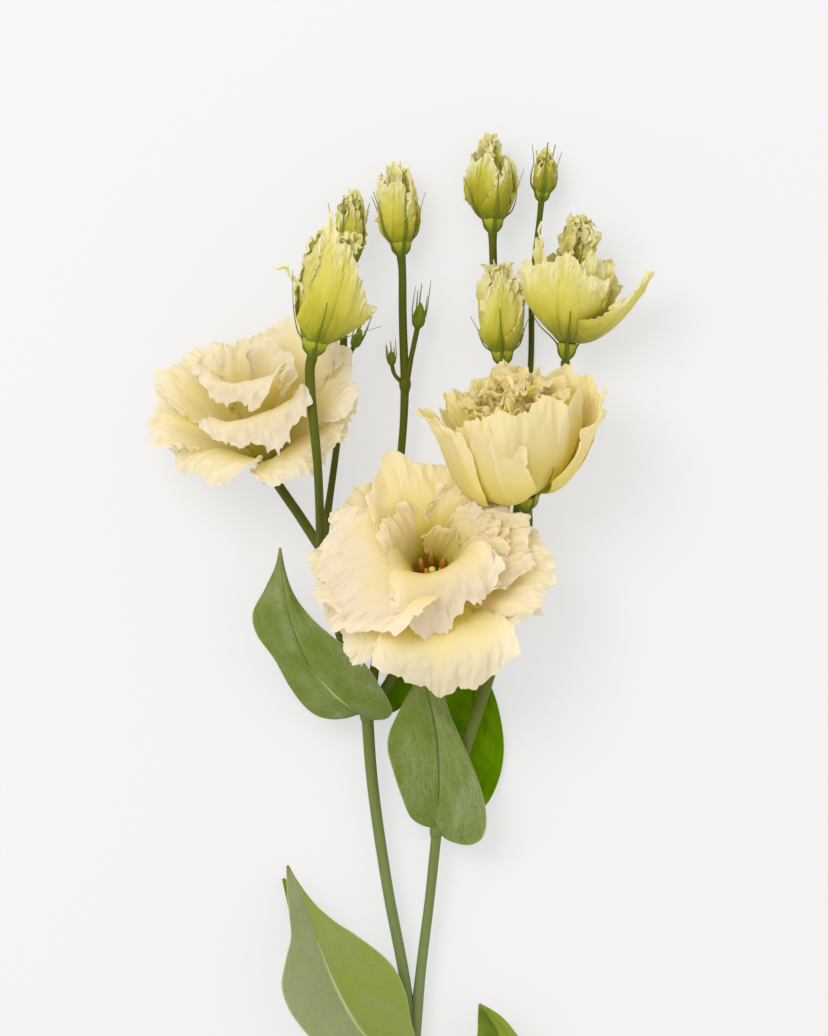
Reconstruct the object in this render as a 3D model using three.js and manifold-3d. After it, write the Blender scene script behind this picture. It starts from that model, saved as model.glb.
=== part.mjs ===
// A cut spray of double lisianthus lying on a table: one main stem that forks into two branches, three open
// fringed blooms, six opening buds, a small closed bud, three tiny side buds and seven clasping leaves.
// Millimetres. +Y runs up the spray, from the cut end to the topmost bud, and +Z is up from the table.
import * as THREE from "three";
import Module from "manifold-3d";

const wasm = await Module();
wasm.setup();

// Driving dimensions
const SHEET = 0.8; // petals and leaves
const GAP = 0.3; // clearance between two pieces that meet
const STEM_STEP = 15; // between the rings of a stem's facets
const STEM_RADIUS = 2.3; // main stem at the cut end
const CALYX_RADIUS = 3.3;
const CALYX_DEPTH = 5; // from the pedicel's end to the corolla
const TUBE_HEIGHT = 4; // solid base of a corolla, which the petals grow out of

const UP = new THREE.Vector3(0, 0, 1);
const radians = THREE.MathUtils.degToRad;
const vector = ([x, y, z]) => new THREE.Vector3(x, y, z);

const material = (color, roughness) => new THREE.MeshStandardMaterial({ color, roughness, metalness: 0 });
const materials = {
  creamPetal: material(0xf3e6c0, 0.6),
  greenPetal: material(0xd3cc66, 0.6),
  stem: material(0x76893f, 0.55),
  calyx: material(0x6f8630, 0.55),
  leaf: material(0x7e9a5c, 0.6),
  stamen: material(0xc27a24, 0.7),
};

// ---- Solids ----

function solidFrom(positions, triangles) {
  const mesh = new wasm.Mesh({
    numProp: 3,
    vertProperties: Float32Array.from(positions),
    triVerts: Uint32Array.from(triangles),
  });
  return new wasm.Manifold(mesh);
}

// Joins solids into one body, without edges shorter than a few hundredths of a millimetre or stray slivers.
function join(solids) {
  const whole = solids.reduce((joined, piece) => joined.add(piece)).simplify(0.03);
  return whole.decompose().reduce((largest, body) => (body.volume() > largest.volume() ? body : largest));
}

function meshOf(name, solid, look) {
  const made = solid.getMesh();
  const positions = new Float32Array(made.numVert * 3);
  for (let i = 0; i < made.numVert; i++) {
    positions.set(made.vertProperties.subarray(i * made.numProp, i * made.numProp + 3), i * 3);
  }
  const geometry = new THREE.BufferGeometry();
  geometry.setAttribute("position", new THREE.BufferAttribute(positions, 3));
  geometry.setIndex(new THREE.BufferAttribute(made.triVerts, 1));
  geometry.computeVertexNormals();
  const mesh = new THREE.Mesh(geometry, look);
  mesh.name = name;
  return mesh;
}

// A thin closed solid around surface(s, t), with s from -1 to 1 across it and t from 0 to 1 along it. Both
// faces are split into triangles alike. What would reach under the table at its placement is pressed flat.
function blade(surface, across, along, placement = new THREE.Matrix4(), thickness = SHEET) {
  const back = placement.clone().invert();
  const step = 1e-3;
  const positions = [];
  for (let j = 0; j <= along; j++) {
    for (let i = 0; i <= across; i++) {
      const s = (2 * i) / across - 1;
      const t = j / along;
      const acrossIt = surface(s + step, t).sub(surface(s - step, t));
      const alongIt = surface(s, t + step).sub(surface(s, t - step));
      const half = acrossIt.cross(alongIt).setLength(thickness / 2);
      const pair = [surface(s, t).add(half), surface(s, t).sub(half)].map((p) => p.applyMatrix4(placement));
      const lift = Math.max(0, -Math.min(pair[0].z, pair[1].z));
      for (const p of pair) {
        p.z += lift;
        positions.push(...p.applyMatrix4(back).toArray());
      }
    }
  }
  const top = (i, j) => 2 * (j * (across + 1) + i);
  const bottom = (i, j) => top(i, j) + 1;
  const triangles = [];
  for (let j = 0; j < along; j++) {
    for (let i = 0; i < across; i++) {
      triangles.push(top(i, j), top(i + 1, j), top(i + 1, j + 1));
      triangles.push(top(i, j), top(i + 1, j + 1), top(i, j + 1));
      triangles.push(bottom(i, j), bottom(i + 1, j + 1), bottom(i + 1, j));
      triangles.push(bottom(i, j), bottom(i, j + 1), bottom(i + 1, j + 1));
    }
  }
  const rim = [];
  for (let i = 0; i < across; i++) rim.push([i, 0]);
  for (let j = 0; j < along; j++) rim.push([across, j]);
  for (let i = across; i > 0; i--) rim.push([i, along]);
  for (let j = along; j > 0; j--) rim.push([0, j]);
  rim.forEach(([i, j], k) => {
    const [m, n] = rim[(k + 1) % rim.length];
    triangles.push(top(i, j), bottom(i, j), bottom(m, n));
    triangles.push(top(i, j), bottom(m, n), top(m, n));
  });
  return solidFrom(positions, triangles);
}

// A closed tube along a smooth curve through the points, each of which is [x, y, z, radius]. It is flattened
// where it would reach under seat.
function shoot(points, sides, seat = 0) {
  const curve = new THREE.CatmullRomCurve3(points.map(vector));
  const spans = points.length - 1;
  const stops = [];
  for (let span = 0; span < spans; span++) {
    const length = vector(points[span]).distanceTo(vector(points[span + 1]));
    const count = Math.max(1, Math.round(length / STEM_STEP));
    for (let k = 0; k < count; k++) stops.push({ span, share: k / count });
  }
  stops.push({ span: spans - 1, share: 1 });
  const normal = new THREE.Vector3(0, 0, 1);
  const positions = [];
  for (const { span, share } of stops) {
    const at = (span + share) / spans;
    const tangent = curve.getTangent(at);
    normal.addScaledVector(tangent, -normal.dot(tangent)).normalize();
    const binormal = tangent.clone().cross(normal);
    const radius = THREE.MathUtils.lerp(points[span][3], points[span + 1][3], share);
    for (let i = 0; i < sides; i++) {
      const angle = (2 * Math.PI * i) / sides;
      const p = curve
        .getPoint(at)
        .addScaledVector(normal, radius * Math.cos(angle))
        .addScaledVector(binormal, radius * Math.sin(angle));
      positions.push(p.x, p.y, Math.max(p.z, seat));
    }
  }
  const steps = stops.length - 1;
  const triangles = [];
  for (let k = 0; k < steps; k++) {
    for (let i = 0; i < sides; i++) {
      const j = (i + 1) % sides;
      const [a, b, c, d] = [k * sides + i, k * sides + j, (k + 1) * sides + j, (k + 1) * sides + i];
      triangles.push(a, b, c, a, c, d);
    }
  }
  for (let i = 1; i < sides - 1; i++) {
    triangles.push(0, i + 1, i);
    triangles.push(steps * sides, steps * sides + i, steps * sides + i + 1);
  }
  return solidFrom(positions, triangles);
}

// A turned solid from [radius, height] points that start and end on the axis.
function turned(profile, sides) {
  const geometry = new THREE.LatheGeometry(
    profile.map(([r, h]) => new THREE.Vector2(r, h)),
    sides,
  );
  geometry.rotateX(Math.PI / 2);
  const positions = [];
  const triangles = [];
  const rings = profile.length;
  const source = geometry.getAttribute("position");
  // One vertex for each pole, and no doubled seam
  const index = (i, j) => {
    const pole = profile[j][0] === 0;
    return pole ? j * sides : j * sides + (i % sides);
  };
  for (let j = 0; j < rings; j++) {
    for (let i = 0; i < sides; i++) {
      const k = i * rings + j;
      positions.push(source.getX(k), source.getY(k), source.getZ(k));
    }
  }
  for (let j = 0; j < rings - 1; j++) {
    for (let i = 0; i < sides; i++) {
      const [a, b, c, d] = [index(i, j), index(i + 1, j), index(i + 1, j + 1), index(i, j + 1)];
      if (a !== b) triangles.push(a, b, c);
      if (c !== d) triangles.push(a, c, d);
    }
  }
  const solid = solidFrom(positions, triangles);
  return solid.volume() < 0 ? solidFrom(positions, triangles.reverse()) : solid;
}

// ---- Petals ----

// Unit vector in a flower's (radius, height) plane, at an angle from the flower's axis.
const heading = (degrees) => new THREE.Vector2(Math.sin(radians(degrees)), Math.cos(radians(degrees)));

// A petal's surface in its flower's frame, whose +Z is the flower's axis. It points to the azimuth turn. Its
// rib runs from root to (reach, rise), as radius and height, leaving at start degrees from the axis and ending
// at flare degrees. cup 1 wraps it round the axis and 0 leaves it flat. lean brings one edge in and the other
// out, so that neighbours overlap like tiles. Its margin ruffles and is notched.
function petal({
  turn,
  reach,
  rise,
  root = [2, 1.5],
  start = 60,
  flare = 70,
  swell = 0.42,
  half = 16,
  shoulder = 0.68,
  taper = 0,
  cup = 0.7,
  lean = 2.5,
  twist = 0,
  ruffle = 1.6,
  waves = 2,
  round = 0.22,
  notch = 0.06,
  phase = 0,
}) {
  const foot = new THREE.Vector2(...root);
  const tip = new THREE.Vector2(reach, rise);
  const pull = swell * foot.distanceTo(tip);
  const rib = new THREE.CubicBezierCurve(
    foot,
    foot.clone().addScaledVector(heading(start), pull),
    tip.clone().addScaledVector(heading(flare), -pull),
    tip,
  );
  return (s, t) => {
    const side = Math.abs(s);
    const along = t * (1 - round * side ** 2.4 - notch * t * (1 + Math.sin(7.1 * s + 2 * phase)) * 0.5);
    const at = rib.getPoint(along);
    const slope = rib.getPoint(along + 1e-3).sub(at).normalize();
    const claw = 0.16 + 0.84 * THREE.MathUtils.smoothstep(along, 0, shoulder);
    const width = half * claw * (1 - taper * along ** 2);
    const bend = cup / (Math.abs(at.x) + 1.5);
    const arc = s * width;
    const edge = along * along * (0.3 + 0.7 * side ** 1.5);
    const turnsAcross = Math.PI * waves * s;
    const frill = Math.sin(turnsAcross + phase) + 0.45 * Math.sin(2.3 * turnsAcross + 9 * along + phase);
    const cupping = (1 - Math.cos(bend * arc)) / bend;
    const inward = cupping + lean * s * along + ruffle * edge * frill;
    const sideways = Math.sin(bend * arc) / bend;
    const azimuth = radians(turn + twist * along);
    const radius = at.x - slope.y * inward;
    return new THREE.Vector3(
      radius * Math.cos(azimuth) - sideways * Math.sin(azimuth),
      radius * Math.sin(azimuth) + sideways * Math.cos(azimuth),
      at.y + slope.x * inward,
    );
  };
}

// ---- Leaves ----

// A clasping oval leaf on a rib of four control points. face is the way it faces, at its foot and at its tip.
// fold, in degrees up from flat, and lobe, as a share of the length, are given for its left and right half.
function leaf({ rib, half, face, fold = [10, 10], cup = 0, wave = 0, lobe = [0.1, 0.1], phase = 0 }) {
  const curve = new THREE.CubicBezierCurve3(...rib.map(vector));
  const [footFace, tipFace] = face.map((f) => vector(f).normalize());
  return (s, t) => {
    const side = Math.abs(s);
    const hand = s < 0 ? 0 : 1;
    const along = t - lobe[hand] * side ** 1.6 * (1 - t) ** 3;
    const at = curve.getPoint(along);
    const tangent = curve.getPoint(along + 1e-3).sub(at).normalize();
    const facing = footFace.clone().lerp(tipFace, THREE.MathUtils.clamp(t, 0, 1));
    const across = tangent.clone().cross(facing).normalize();
    const out = across.clone().cross(tangent).normalize();
    const width = half * 2.1 * (Math.max(t, 0) + 0.07) ** 0.42 * (1.02 - Math.min(t, 1.02));
    const arc = s * width;
    const ripple = wave * side ** 2 * Math.sin(2 * Math.PI * 1.4 * t + phase + (s > 0 ? 1.3 : 0));
    return at
      .addScaledVector(across, arc * Math.cos(radians(fold[hand])))
      .addScaledVector(out, side * width * Math.sin(radians(fold[hand])) - (cup * arc * arc) / half + ripple);
  };
}

// ---- Heads: blooms and buds, each in its own frame at the top of its calyx ----

// Sepals start on the calyx and pass the points given as [radius, height], each tapering to a fine tip.
function calyx(sepals, radius, depth) {
  const cup = turned(
    [
      [0, -depth],
      [0.65 * radius, -depth],
      [radius, 0],
      [0, 0],
    ],
    5,
  );
  const needles = sepals.map(({ turn, route }) => {
    const [c, s] = [Math.cos(radians(turn)), Math.sin(radians(turn))];
    const path = [[0.72 * radius, -0.35 * depth], ...route];
    const thickness = (k) => THREE.MathUtils.lerp(0.65, 0.35, k / (path.length - 1));
    return shoot(
      path.map(([r, h], k) => [r * c, r * s, h, thickness(k)]),
      3,
      -Infinity,
    );
  });
  return join([cup, ...needles]);
}

// The solid base of a corolla, just above the calyx.
const tube = (radius) =>
  turned(
    [
      [0, GAP],
      [0.8 * radius, GAP],
      [1.15 * radius, 0.5 * TUBE_HEIGHT],
      [1.15 * radius, TUBE_HEIGHT],
      [0, TUBE_HEIGHT],
    ],
    8,
  );

// Ovary, style and stamens, standing on the tube.
function stamens() {
  const foot = TUBE_HEIGHT + GAP;
  const ovary = turned(
    [
      [0, foot],
      [1.8, foot],
      [1.6, foot + 3],
      [0.8, foot + 10],
      [0, foot + 11],
    ],
    4,
  );
  const threads = [0, 1, 2, 3, 4].map((k) => {
    const angle = radians(72 * k + 20);
    const point = (r, h, w) => [r * Math.cos(angle), r * Math.sin(angle), foot + h, w];
    return shoot([point(1.2, 0.5, 0.5), point(2.7, 7.8, 0.5), point(3.5, 11, 0.9)], 3, -Infinity);
  });
  return join([ovary, ...threads]);
}

function head({
  name,
  at,
  axis,
  petals,
  look,
  core,
  sepals,
  calyxRadius = CALYX_RADIUS,
  calyxDepth = CALYX_DEPTH,
  withStamens = false,
}) {
  const group = new THREE.Group();
  group.position.set(...at);
  group.quaternion.setFromUnitVectors(UP, vector(axis).normalize());
  group.updateMatrix();
  const blades = petals.map((p) => blade(petal(p), ...(p.grid ?? [4, 4]), group.matrix));
  const middle = core ? [turned(core, 6)] : [];
  group.add(meshOf(`${name}_petals`, join([tube(calyxRadius), ...middle, ...blades]), look));
  group.add(meshOf(`${name}_calyx`, calyx(sepals, calyxRadius, calyxDepth), materials.calyx));
  if (withStamens) group.add(meshOf(`${name}_stamens`, stamens(), materials.stamen));
  return group;
}

const whorl = (count, from, common, each = () => ({})) =>
  Array.from({ length: count }, (_, k) => ({
    turn: from + (360 / count) * k,
    phase: 1.7 * k + from / 40,
    ...common,
    ...each(k),
  }));

// Five even sepals that pass the same points.
const fiveSepals = (from, ...route) => whorl(5, from, {}).map(({ turn }) => ({ turn, route }));

// ---- Where each head sits: the top of its calyx, and the way it faces ----

const places = {
  front: { at: [5, 133, 16], axis: [0.03, 0.36, 0.93] },
  left: { at: [-43.8, 173.7, 9], axis: [-0.17, 0.72, 0.68] },
  right: { at: [33.3, 161.7, 27], axis: [-0.1, 0.97, 0.2] },
  tallBud: { at: [-29.4, 207.6, 44], axis: [0.1, 0.98, 0.1] },
  hiddenBud: { at: [-20.6, 232, 13], axis: [0.09, 0.98, 0] },
  pairedBud: { at: [-4.2, 238.5, 10], axis: [-0.08, 1, 0.03] },
  topBud: { at: [23.6, 245.4, 11], axis: [-0.02, 1, 0.02] },
  closedBud: { at: [38.7, 253.6, 8], axis: [0.1, 1, 0] },
  cupBud: { at: [46, 207, 16], axis: [0.1, 0.98, 0.06] },
  lowBud: { at: [26.6, 205.5, 12.6], axis: [-0.04, 0.99, 0.03] },
};

// ---- Blooms ----

const outer = { grid: [4, 5], root: [3.5, 1.6], start: 76, ruffle: 1.8 };
const middleRow = { grid: [5, 4], root: [3.4, 2.6], start: 48 };
const inner = { grid: [4, 4], root: [3.2, 3.2], start: 20 };

const frontBloom = head({
  name: "front_bloom",
  ...places.front,
  look: materials.creamPetal,
  withStamens: true,
  petals: [
    { ...outer, grid: [5, 5], turn: 274, reach: 41, rise: 16, flare: 90, half: 24, cup: 0.25, phase: 0.4 },
    { ...outer, turn: 208, reach: 38, rise: 20, flare: 100, half: 21, cup: 0.3, phase: 2 },
    { ...outer, turn: 144, reach: 36, rise: 21, flare: 96, half: 18, cup: 0.35, phase: 3.3 },
    { ...outer, turn: 30, reach: 30, rise: 21, flare: 92, half: 14, cup: 0.35, phase: 4 },
    { ...outer, turn: 338, reach: 38, rise: 20, flare: 98, half: 17, cup: 0.3, phase: 5 },
    { ...middleRow, turn: 104, reach: 33, rise: 31, start: 40, flare: 62, half: 15, cup: 0.5, phase: 1.2 },
    { ...middleRow, turn: 186, reach: 27, rise: 28, start: 34, flare: 92, half: 18, cup: 0.35, phase: 1.4 },
    { ...middleRow, turn: 14, reach: 28, rise: 27, flare: 84, half: 15, cup: 0.5, phase: 3.8 },
    { ...inner, turn: 250, reach: 20, rise: 23, flare: 96, half: 12, cup: 0.5, phase: 0.5 },
    { ...inner, turn: 304, reach: 24, rise: 25, start: 10, flare: 112, half: 14, cup: 0.3, phase: 0.2 },
    { ...inner, grid: [3, 4], turn: 48, reach: 11, rise: 28, flare: 45, half: 8, cup: 0.7, phase: 2.7 },
    { ...inner, grid: [3, 4], turn: 160, reach: 11, rise: 27, flare: 60, half: 9, cup: 0.6, phase: 1 },
  ],
  sepals: fiveSepals(54, [12, 0], [17, 4]),
});

const leftBloom = head({
  name: "left_bloom",
  ...places.left,
  look: materials.creamPetal,
  withStamens: true,
  petals: [
    { ...outer, turn: 252, reach: 29, rise: 12, flare: 104, half: 16, cup: 0.3, phase: 0.4 },
    { ...outer, turn: 333, reach: 31, rise: 9, flare: 96, half: 17, cup: 0.3, phase: 2 },
    { ...outer, turn: 32, reach: 31, rise: 20, flare: 92, half: 17, cup: 0.35, phase: 3.3 },
    { ...outer, turn: 88, reach: 37, rise: 22, flare: 84, half: 18, cup: 0.35, phase: 4 },
    { ...outer, turn: 146, reach: 37, rise: 20, flare: 92, half: 18, cup: 0.35, phase: 5 },
    { ...outer, turn: 202, reach: 36, rise: 14, flare: 98, half: 18, cup: 0.3, phase: 1 },
    { ...middleRow, turn: 246, reach: 26, rise: 21, flare: 108, half: 17, cup: 0.4, phase: 1.2 },
    { ...middleRow, turn: 170, reach: 28, rise: 24, flare: 86, half: 17, cup: 0.4, phase: 1.4 },
    { ...middleRow, turn: 62, reach: 25, rise: 27, flare: 68, half: 17, cup: 0.5, phase: 2.5 },
    { ...inner, grid: [4, 4], turn: 268, reach: 16, rise: 26, flare: 108, half: 13, cup: 0.5, phase: 0.5 },
    { ...inner, grid: [3, 4], turn: 165, reach: 14, rise: 27, flare: 70, half: 11, cup: 0.6, phase: 0.2 },
    { ...inner, grid: [3, 4], turn: 40, reach: 14, rise: 27, flare: 66, half: 11, cup: 0.7, phase: 2.7 },
  ],
  sepals: fiveSepals(54, [11, 0], [14.5, 3]),
});

const bowl = { grid: [5, 5], root: [3.4, 1.6], start: 88, swell: 0.52, shoulder: 0.42, cup: 0.85, lean: 2 };
const rightBloom = head({
  name: "right_bloom",
  ...places.right,
  look: materials.creamPetal,
  withStamens: true,
  petals: [
    { ...bowl, turn: 200, reach: 28, rise: 32, flare: 42, half: 21, phase: 0.4 },
    { ...bowl, turn: 275, reach: 21, rise: 33, flare: 10, half: 22, phase: 2 },
    { ...bowl, turn: 345, reach: 27, rise: 32, flare: 36, half: 20, phase: 1.2 },
    { ...bowl, grid: [4, 4], turn: 60, reach: 13, rise: 34, flare: 6, half: 15, swell: 0.4, phase: 4 },
    { ...bowl, grid: [4, 4], turn: 125, reach: 13, rise: 37, flare: 6, half: 15, swell: 0.4, phase: 5 },
    ...whorl(3, 250, { ...inner, start: 60, reach: 14, rise: 36, flare: 14, half: 13, cup: 0.8, lean: 3 }),
    ...whorl(3, 280, { ...inner, grid: [3, 4], start: 30, reach: 6, rise: 36, flare: 8, half: 7, cup: 0.8 }),
  ],
  sepals: [5, 60, 120, 170, 310].map((turn) => ({ turn, route: [[13, -1.5], [19, 5]] })),
});

// ---- Buds: petals wound round a core, with frilled tips ----

const bud = ({
  name,
  place,
  height,
  girth,
  from,
  petals = 4,
  grid = [4, 4],
  tipReach = 4,
  calyxRadius = 2.7,
  extra = [],
  ...rest
}) =>
  head({
    name,
    ...place,
    look: materials.greenPetal,
    core: [
      [0, GAP],
      [0.4 * girth, 1],
      [0.55 * girth, 0.3 * height],
      [0, 0.82 * height],
    ],
    petals: [
      ...whorl(
        petals,
        from,
        {
          grid,
          root: [calyxRadius - 0.2, 1.5],
          reach: tipReach,
          rise: height,
          start: 66,
          flare: -20,
          swell: (girth - 1 - 0.35 * tipReach) / (0.49 * height),
          half: 0.95 * girth,
          shoulder: 0.5,
          taper: 0.6,
          cup: 1,
          lean: 0.25 * girth,
          twist: 35,
          ruffle: 0.9,
          waves: 1.6,
          round: 0.3,
        },
        (k) => ({ rise: height * (1 - 0.06 * (k % 3)) }),
      ),
      ...extra,
    ],
    calyxRadius,
    ...rest,
  });

// Five sepals that stand just off a bud, out to (spread, length).
const budSepals = (from, girth, spread, length) =>
  fiveSepals(from, [girth + 1.1, 0.38 * girth], [spread, length]);

const looseTip = { grid: [3, 4], cup: 0.8 };
const tallBud = bud({
  name: "tall_bud",
  place: places.tallBud,
  height: 37,
  girth: 10,
  from: 200,
  tipReach: 5,
  extra: [
    { ...looseTip, turn: 172, reach: 16, rise: 22, start: 66, flare: 70, half: 8, taper: 0.6, round: 0.5 },
    { ...looseTip, turn: 325, reach: 14, rise: 19, start: 74, flare: 20, half: 12, round: 0.2, lean: 1 },
  ],
  sepals: [
    { turn: 190, route: [[10.5, 3], [14.5, 20]] },
    { turn: 262, route: [[11, 3.5], [12.5, 11]] },
    { turn: 335, route: [[11.5, 2], [19, 8]] },
    { turn: 48, route: [[11, 3.5], [13, 16]] },
    { turn: 115, route: [[11, 3.5], [13, 16]] },
  ],
  calyxRadius: 3.2,
});
const hiddenBud = bud({
  name: "hidden_bud",
  place: places.hiddenBud,
  height: 23,
  girth: 5.6,
  petals: 3,
  grid: [3, 4],
  from: 10,
  tipReach: 2.5,
  sepals: budSepals(30, 5.6, 8, 16),
});
const pairedBud = bud({
  name: "paired_bud",
  place: places.pairedBud,
  height: 23.5,
  girth: 6.6,
  grid: [3, 4],
  from: 60,
  tipReach: 3,
  sepals: budSepals(0, 6.6, 8.8, 17),
});
const topBud = bud({
  name: "top_bud",
  place: places.topBud,
  height: 24,
  girth: 8,
  from: 120,
  sepals: budSepals(0, 8, 11, 15),
});
const lowBud = bud({
  name: "low_bud",
  place: places.lowBud,
  height: 26,
  girth: 7.4,
  from: 250,
  sepals: budSepals(184, 7.4, 11, 12),
});
const closedBud = bud({
  name: "closed_bud",
  place: places.closedBud,
  height: 12.5,
  girth: 3.4,
  petals: 3,
  grid: [3, 3],
  tipReach: 1,
  from: 30,
  sepals: budSepals(350, 3.4, 6, 15),
  calyxRadius: 1.9,
  calyxDepth: 3.4,
});
const crown = { grid: [3, 4], root: [2, 3], reach: 5.5, rise: 41, start: 44, flare: 0, half: 8, ruffle: 1.3 };
const cup = { root: [2.6, 1.4], start: 76, shoulder: 0.5, cup: 0.9, lean: 1.6, ruffle: 1.1 };
const cupBud = head({
  name: "cup_bud",
  ...places.cupBud,
  look: materials.greenPetal,
  calyxRadius: 2.9,
  petals: [
    { ...cup, turn: 194, reach: 10, rise: 34, start: 68, flare: 0, half: 11, taper: 0.5, phase: 1 },
    { ...cup, turn: 262, reach: 11, rise: 26, flare: -4, half: 14, phase: 2, grid: [5, 4] },
    { ...cup, turn: 345, reach: 26, rise: 24, flare: 66, half: 12, taper: 0.6, phase: 3, grid: [4, 5] },
    { ...cup, turn: 60, reach: 10, rise: 28, flare: 0, half: 11 },
    { ...cup, turn: 125, reach: 10, rise: 30, flare: 0, half: 11 },
    ...whorl(3, 220, { ...crown, cup: 0.8 }),
  ],
  sepals: fiveSepals(335, [12.4, 2], [15.5, 9]),
});

// ---- Tiny side buds, all green ----

const tinyBud = (name, at, axis, height, girth, sepalHeight) => {
  const group = new THREE.Group();
  group.position.set(...at);
  group.quaternion.setFromUnitVectors(UP, vector(axis).normalize());
  const body = turned(
    [
      [0, 0],
      [0.45 * girth, 0],
      [girth, 0.3 * height],
      [0.75 * girth, 0.65 * height],
      [0, height],
    ],
    5,
  );
  const needles = [20, 140, 260].map((turn) => {
    const [c, s] = [Math.cos(radians(turn)), Math.sin(radians(turn))];
    const point = (r, h, w) => [r * c, r * s, h, w];
    const route = [
      point(0.4 * girth, 0.15 * height, 0.5),
      point(1.05 * girth, 0.7 * height, 0.5),
      point(1.3 * girth, sepalHeight, 0.35),
    ];
    return shoot(route, 3, -Infinity);
  });
  group.add(meshOf(name, join([body, ...needles]), materials.calyx));
  return group;
};

// ---- Stems ----

// The last points of a stem, which meets a head's calyx square on.
const meeting = ({ at, axis }, radius, depth = CALYX_DEPTH) => {
  const way = vector(axis).normalize();
  const end = vector(at).addScaledVector(way, -(depth + GAP));
  const before = end.clone().addScaledVector(way, -3);
  return [
    [...before.toArray(), 0.9 * radius],
    [...end.toArray(), radius],
  ];
};

const fork = [-0.6, -9.6, 5, 2.5];
const leftNode = [-14.1, 95.7, 8.6, 2.2];
const leftUpperNode = [-27.9, 146, 14, 1.9];
const rightNode = [6.9, 61.2, 8, 1.9];
const rightUpperNode = [24.6, 114, 10.5, 2.1];
const twinNode = [-2.7, 195.8, 9.5, 1.6];
const rightShootNode = [32.4, 181.8, 1.8, 1.6];

const stemRoutes = [
  // The main stem and its two branches
  [[0, -95, 2.2, STEM_RADIUS], [-1.2, -65, 2.6, STEM_RADIUS], [0.4, -36, 3.6, 2.3], fork],
  [fork, [-2.2, 12, 5.8, 2], [-8.2, 45, 7, 2], [-12.6, 76, 8, 2.1], leftNode],
  [fork, [2, 18, 6, 1.9], [4.8, 41, 7, 1.8], rightNode],
  // Right branch: the bowl-shaped bloom, then the shoot behind it with four buds
  [rightNode, [15, 84, 9, 2], rightUpperNode, [29.5, 132, 13.5, 1.8], ...meeting(places.right, 1.9)],
  [rightUpperNode, [28, 134, 5.6, 1.5], [31.4, 160, 2.4, 1.5], rightShootNode],
  [rightShootNode, [27.8, 197, 1.4, 1.4], [24.8, 218, 1.6, 1.4], ...meeting(places.topBud, 1.6)],
  [rightShootNode, ...meeting(places.lowBud, 1.6)],
  [rightShootNode, [35.2, 200, 1.4, 1.1], [35.8, 225, 3, 1.1], ...meeting(places.closedBud, 1.2, 3.4)],
  [rightShootNode, [39, 190, 4.5, 1.6], ...meeting(places.cupBud, 1.8)],
  // Left branch: the tall bud's stem, the left bloom's and the hidden bud's
  [leftNode, [-19, 110, 9.4, 1.8], [-25, 130, 11.6, 1.7], leftUpperNode],
  [leftUpperNode, [-28.2, 158, 27.5, 1.6], [-28.6, 171, 43, 1.6], ...meeting(places.tallBud, 2)],
  [leftUpperNode, [-34.5, 156, 7.6, 1.8], ...meeting(places.left, 2)],
  [
    leftUpperNode,
    [-25.4, 162, 5, 1.3],
    [-22.4, 186, 3, 1.2],
    [-21.3, 204, 7, 1.4],
    ...meeting(places.hiddenBud, 1.5),
  ],
  // Left branch: the long pedicel of the paired bud, and the front bloom's
  [leftNode, [-11, 116, 6.6, 1.6], [-6.6, 150, 6, 1.5], [-3.3, 182, 8.6, 1.4], twinNode],
  [twinNode, [-3.4, 216, 10, 1.5], ...meeting(places.pairedBud, 1.6)],
  [leftNode, [-5, 110, 7.2, 1.7], ...meeting(places.front, 2)],
  // Stalks of the tiny buds
  [[-21.3, 201, 6.2, 0.9], [-19.6, 204.4, 9.6, 0.8], [-18.3, 206.5, 11, 0.8]],
  [twinNode, [-0.8, 204, 10, 0.9], [0.9, 212, 10.2, 1]],
  [[-2.7, 195.5, 9.5, 0.9], [-5.8, 198.6, 9.8, 0.7], [-6.6, 200.8, 10, 0.8]],
];
const stemSides = (radius) => (radius > 2.2 ? 6 : radius > 1 ? 5 : 4);
const stems = join(stemRoutes.map((route) => shoot(route, stemSides(route[0][3]))));

// ---- Leaves ----

const leaves = {
  left_leaf: {
    rib: [[-17, 97.4, 12.6], [-31, 106, 20], [-42.5, 127, 24], [-40.2, 146.4, 17]],
    half: 11.5,
    face: [[0, 0, 1], [0.3, 0.3, 1]],
    fold: [-4, 2],
    wave: 1,
    lobe: [0.06, 0.12],
  },
  left_back_leaf: {
    rib: [[-10.8, 97.2, 4.3], [-4, 99, 2.8], [8, 110, 2.2], [9, 128, 2]],
    half: 9,
    face: [[0, 0, 1], [0, 0, 1]],
    lobe: [0.02, 0.02],
  },
  right_leaf: {
    rib: [[7, 62.8, 11], [7.6, 78, 15], [6.4, 96, 18], [2, 117, 15]],
    half: 14.6,
    face: [[0, 0.1, 1], [0, 0.1, 1]],
    fold: [-8, -8],
    wave: 1,
    lobe: [0.03, 0.14],
  },
  right_back_leaf: {
    rib: [[8.4, 63.6, 5.3], [20, 74, 3.4], [24, 96, 2.4], [17, 116, 2]],
    half: 11.5,
    face: [[0, 0, 1], [0, 0, 1]],
    lobe: [0.02, 0.06],
  },
  fork_leaf: {
    rib: [[-2.6, -9.8, 8.2], [-18, -3, 14], [-31, 30, 18], [-38, 50.8, 11]],
    half: 16.5,
    face: [[0.1, 0.05, 1], [0.2, 0.2, 1]],
    fold: [50, 8],
    wave: 0.8,
    lobe: [0.05, 0.1],
  },
  fork_back_leaf: {
    rib: [[-5.6, -8, 1.2], [-17, 3, 1.4], [-30, 26, 1.4], [-39.7, 46.4, 1.8]],
    half: 10,
    face: [[0, 0, 1], [0, 0, 1]],
    lobe: [0.02, 0.02],
  },
  fork_right_leaf: {
    rib: [[5.4, -15, 5], [17, -24, 10], [32, -14, 13], [19.8, 8.8, 9]],
    half: 11,
    face: [[0, 0, 1], [0, 0, 1]],
    fold: [30, 30],
    lobe: [0.05, 0.05],
  },
};

// ---- The whole spray, shifted so that its origin is the middle of its underside ----

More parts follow.
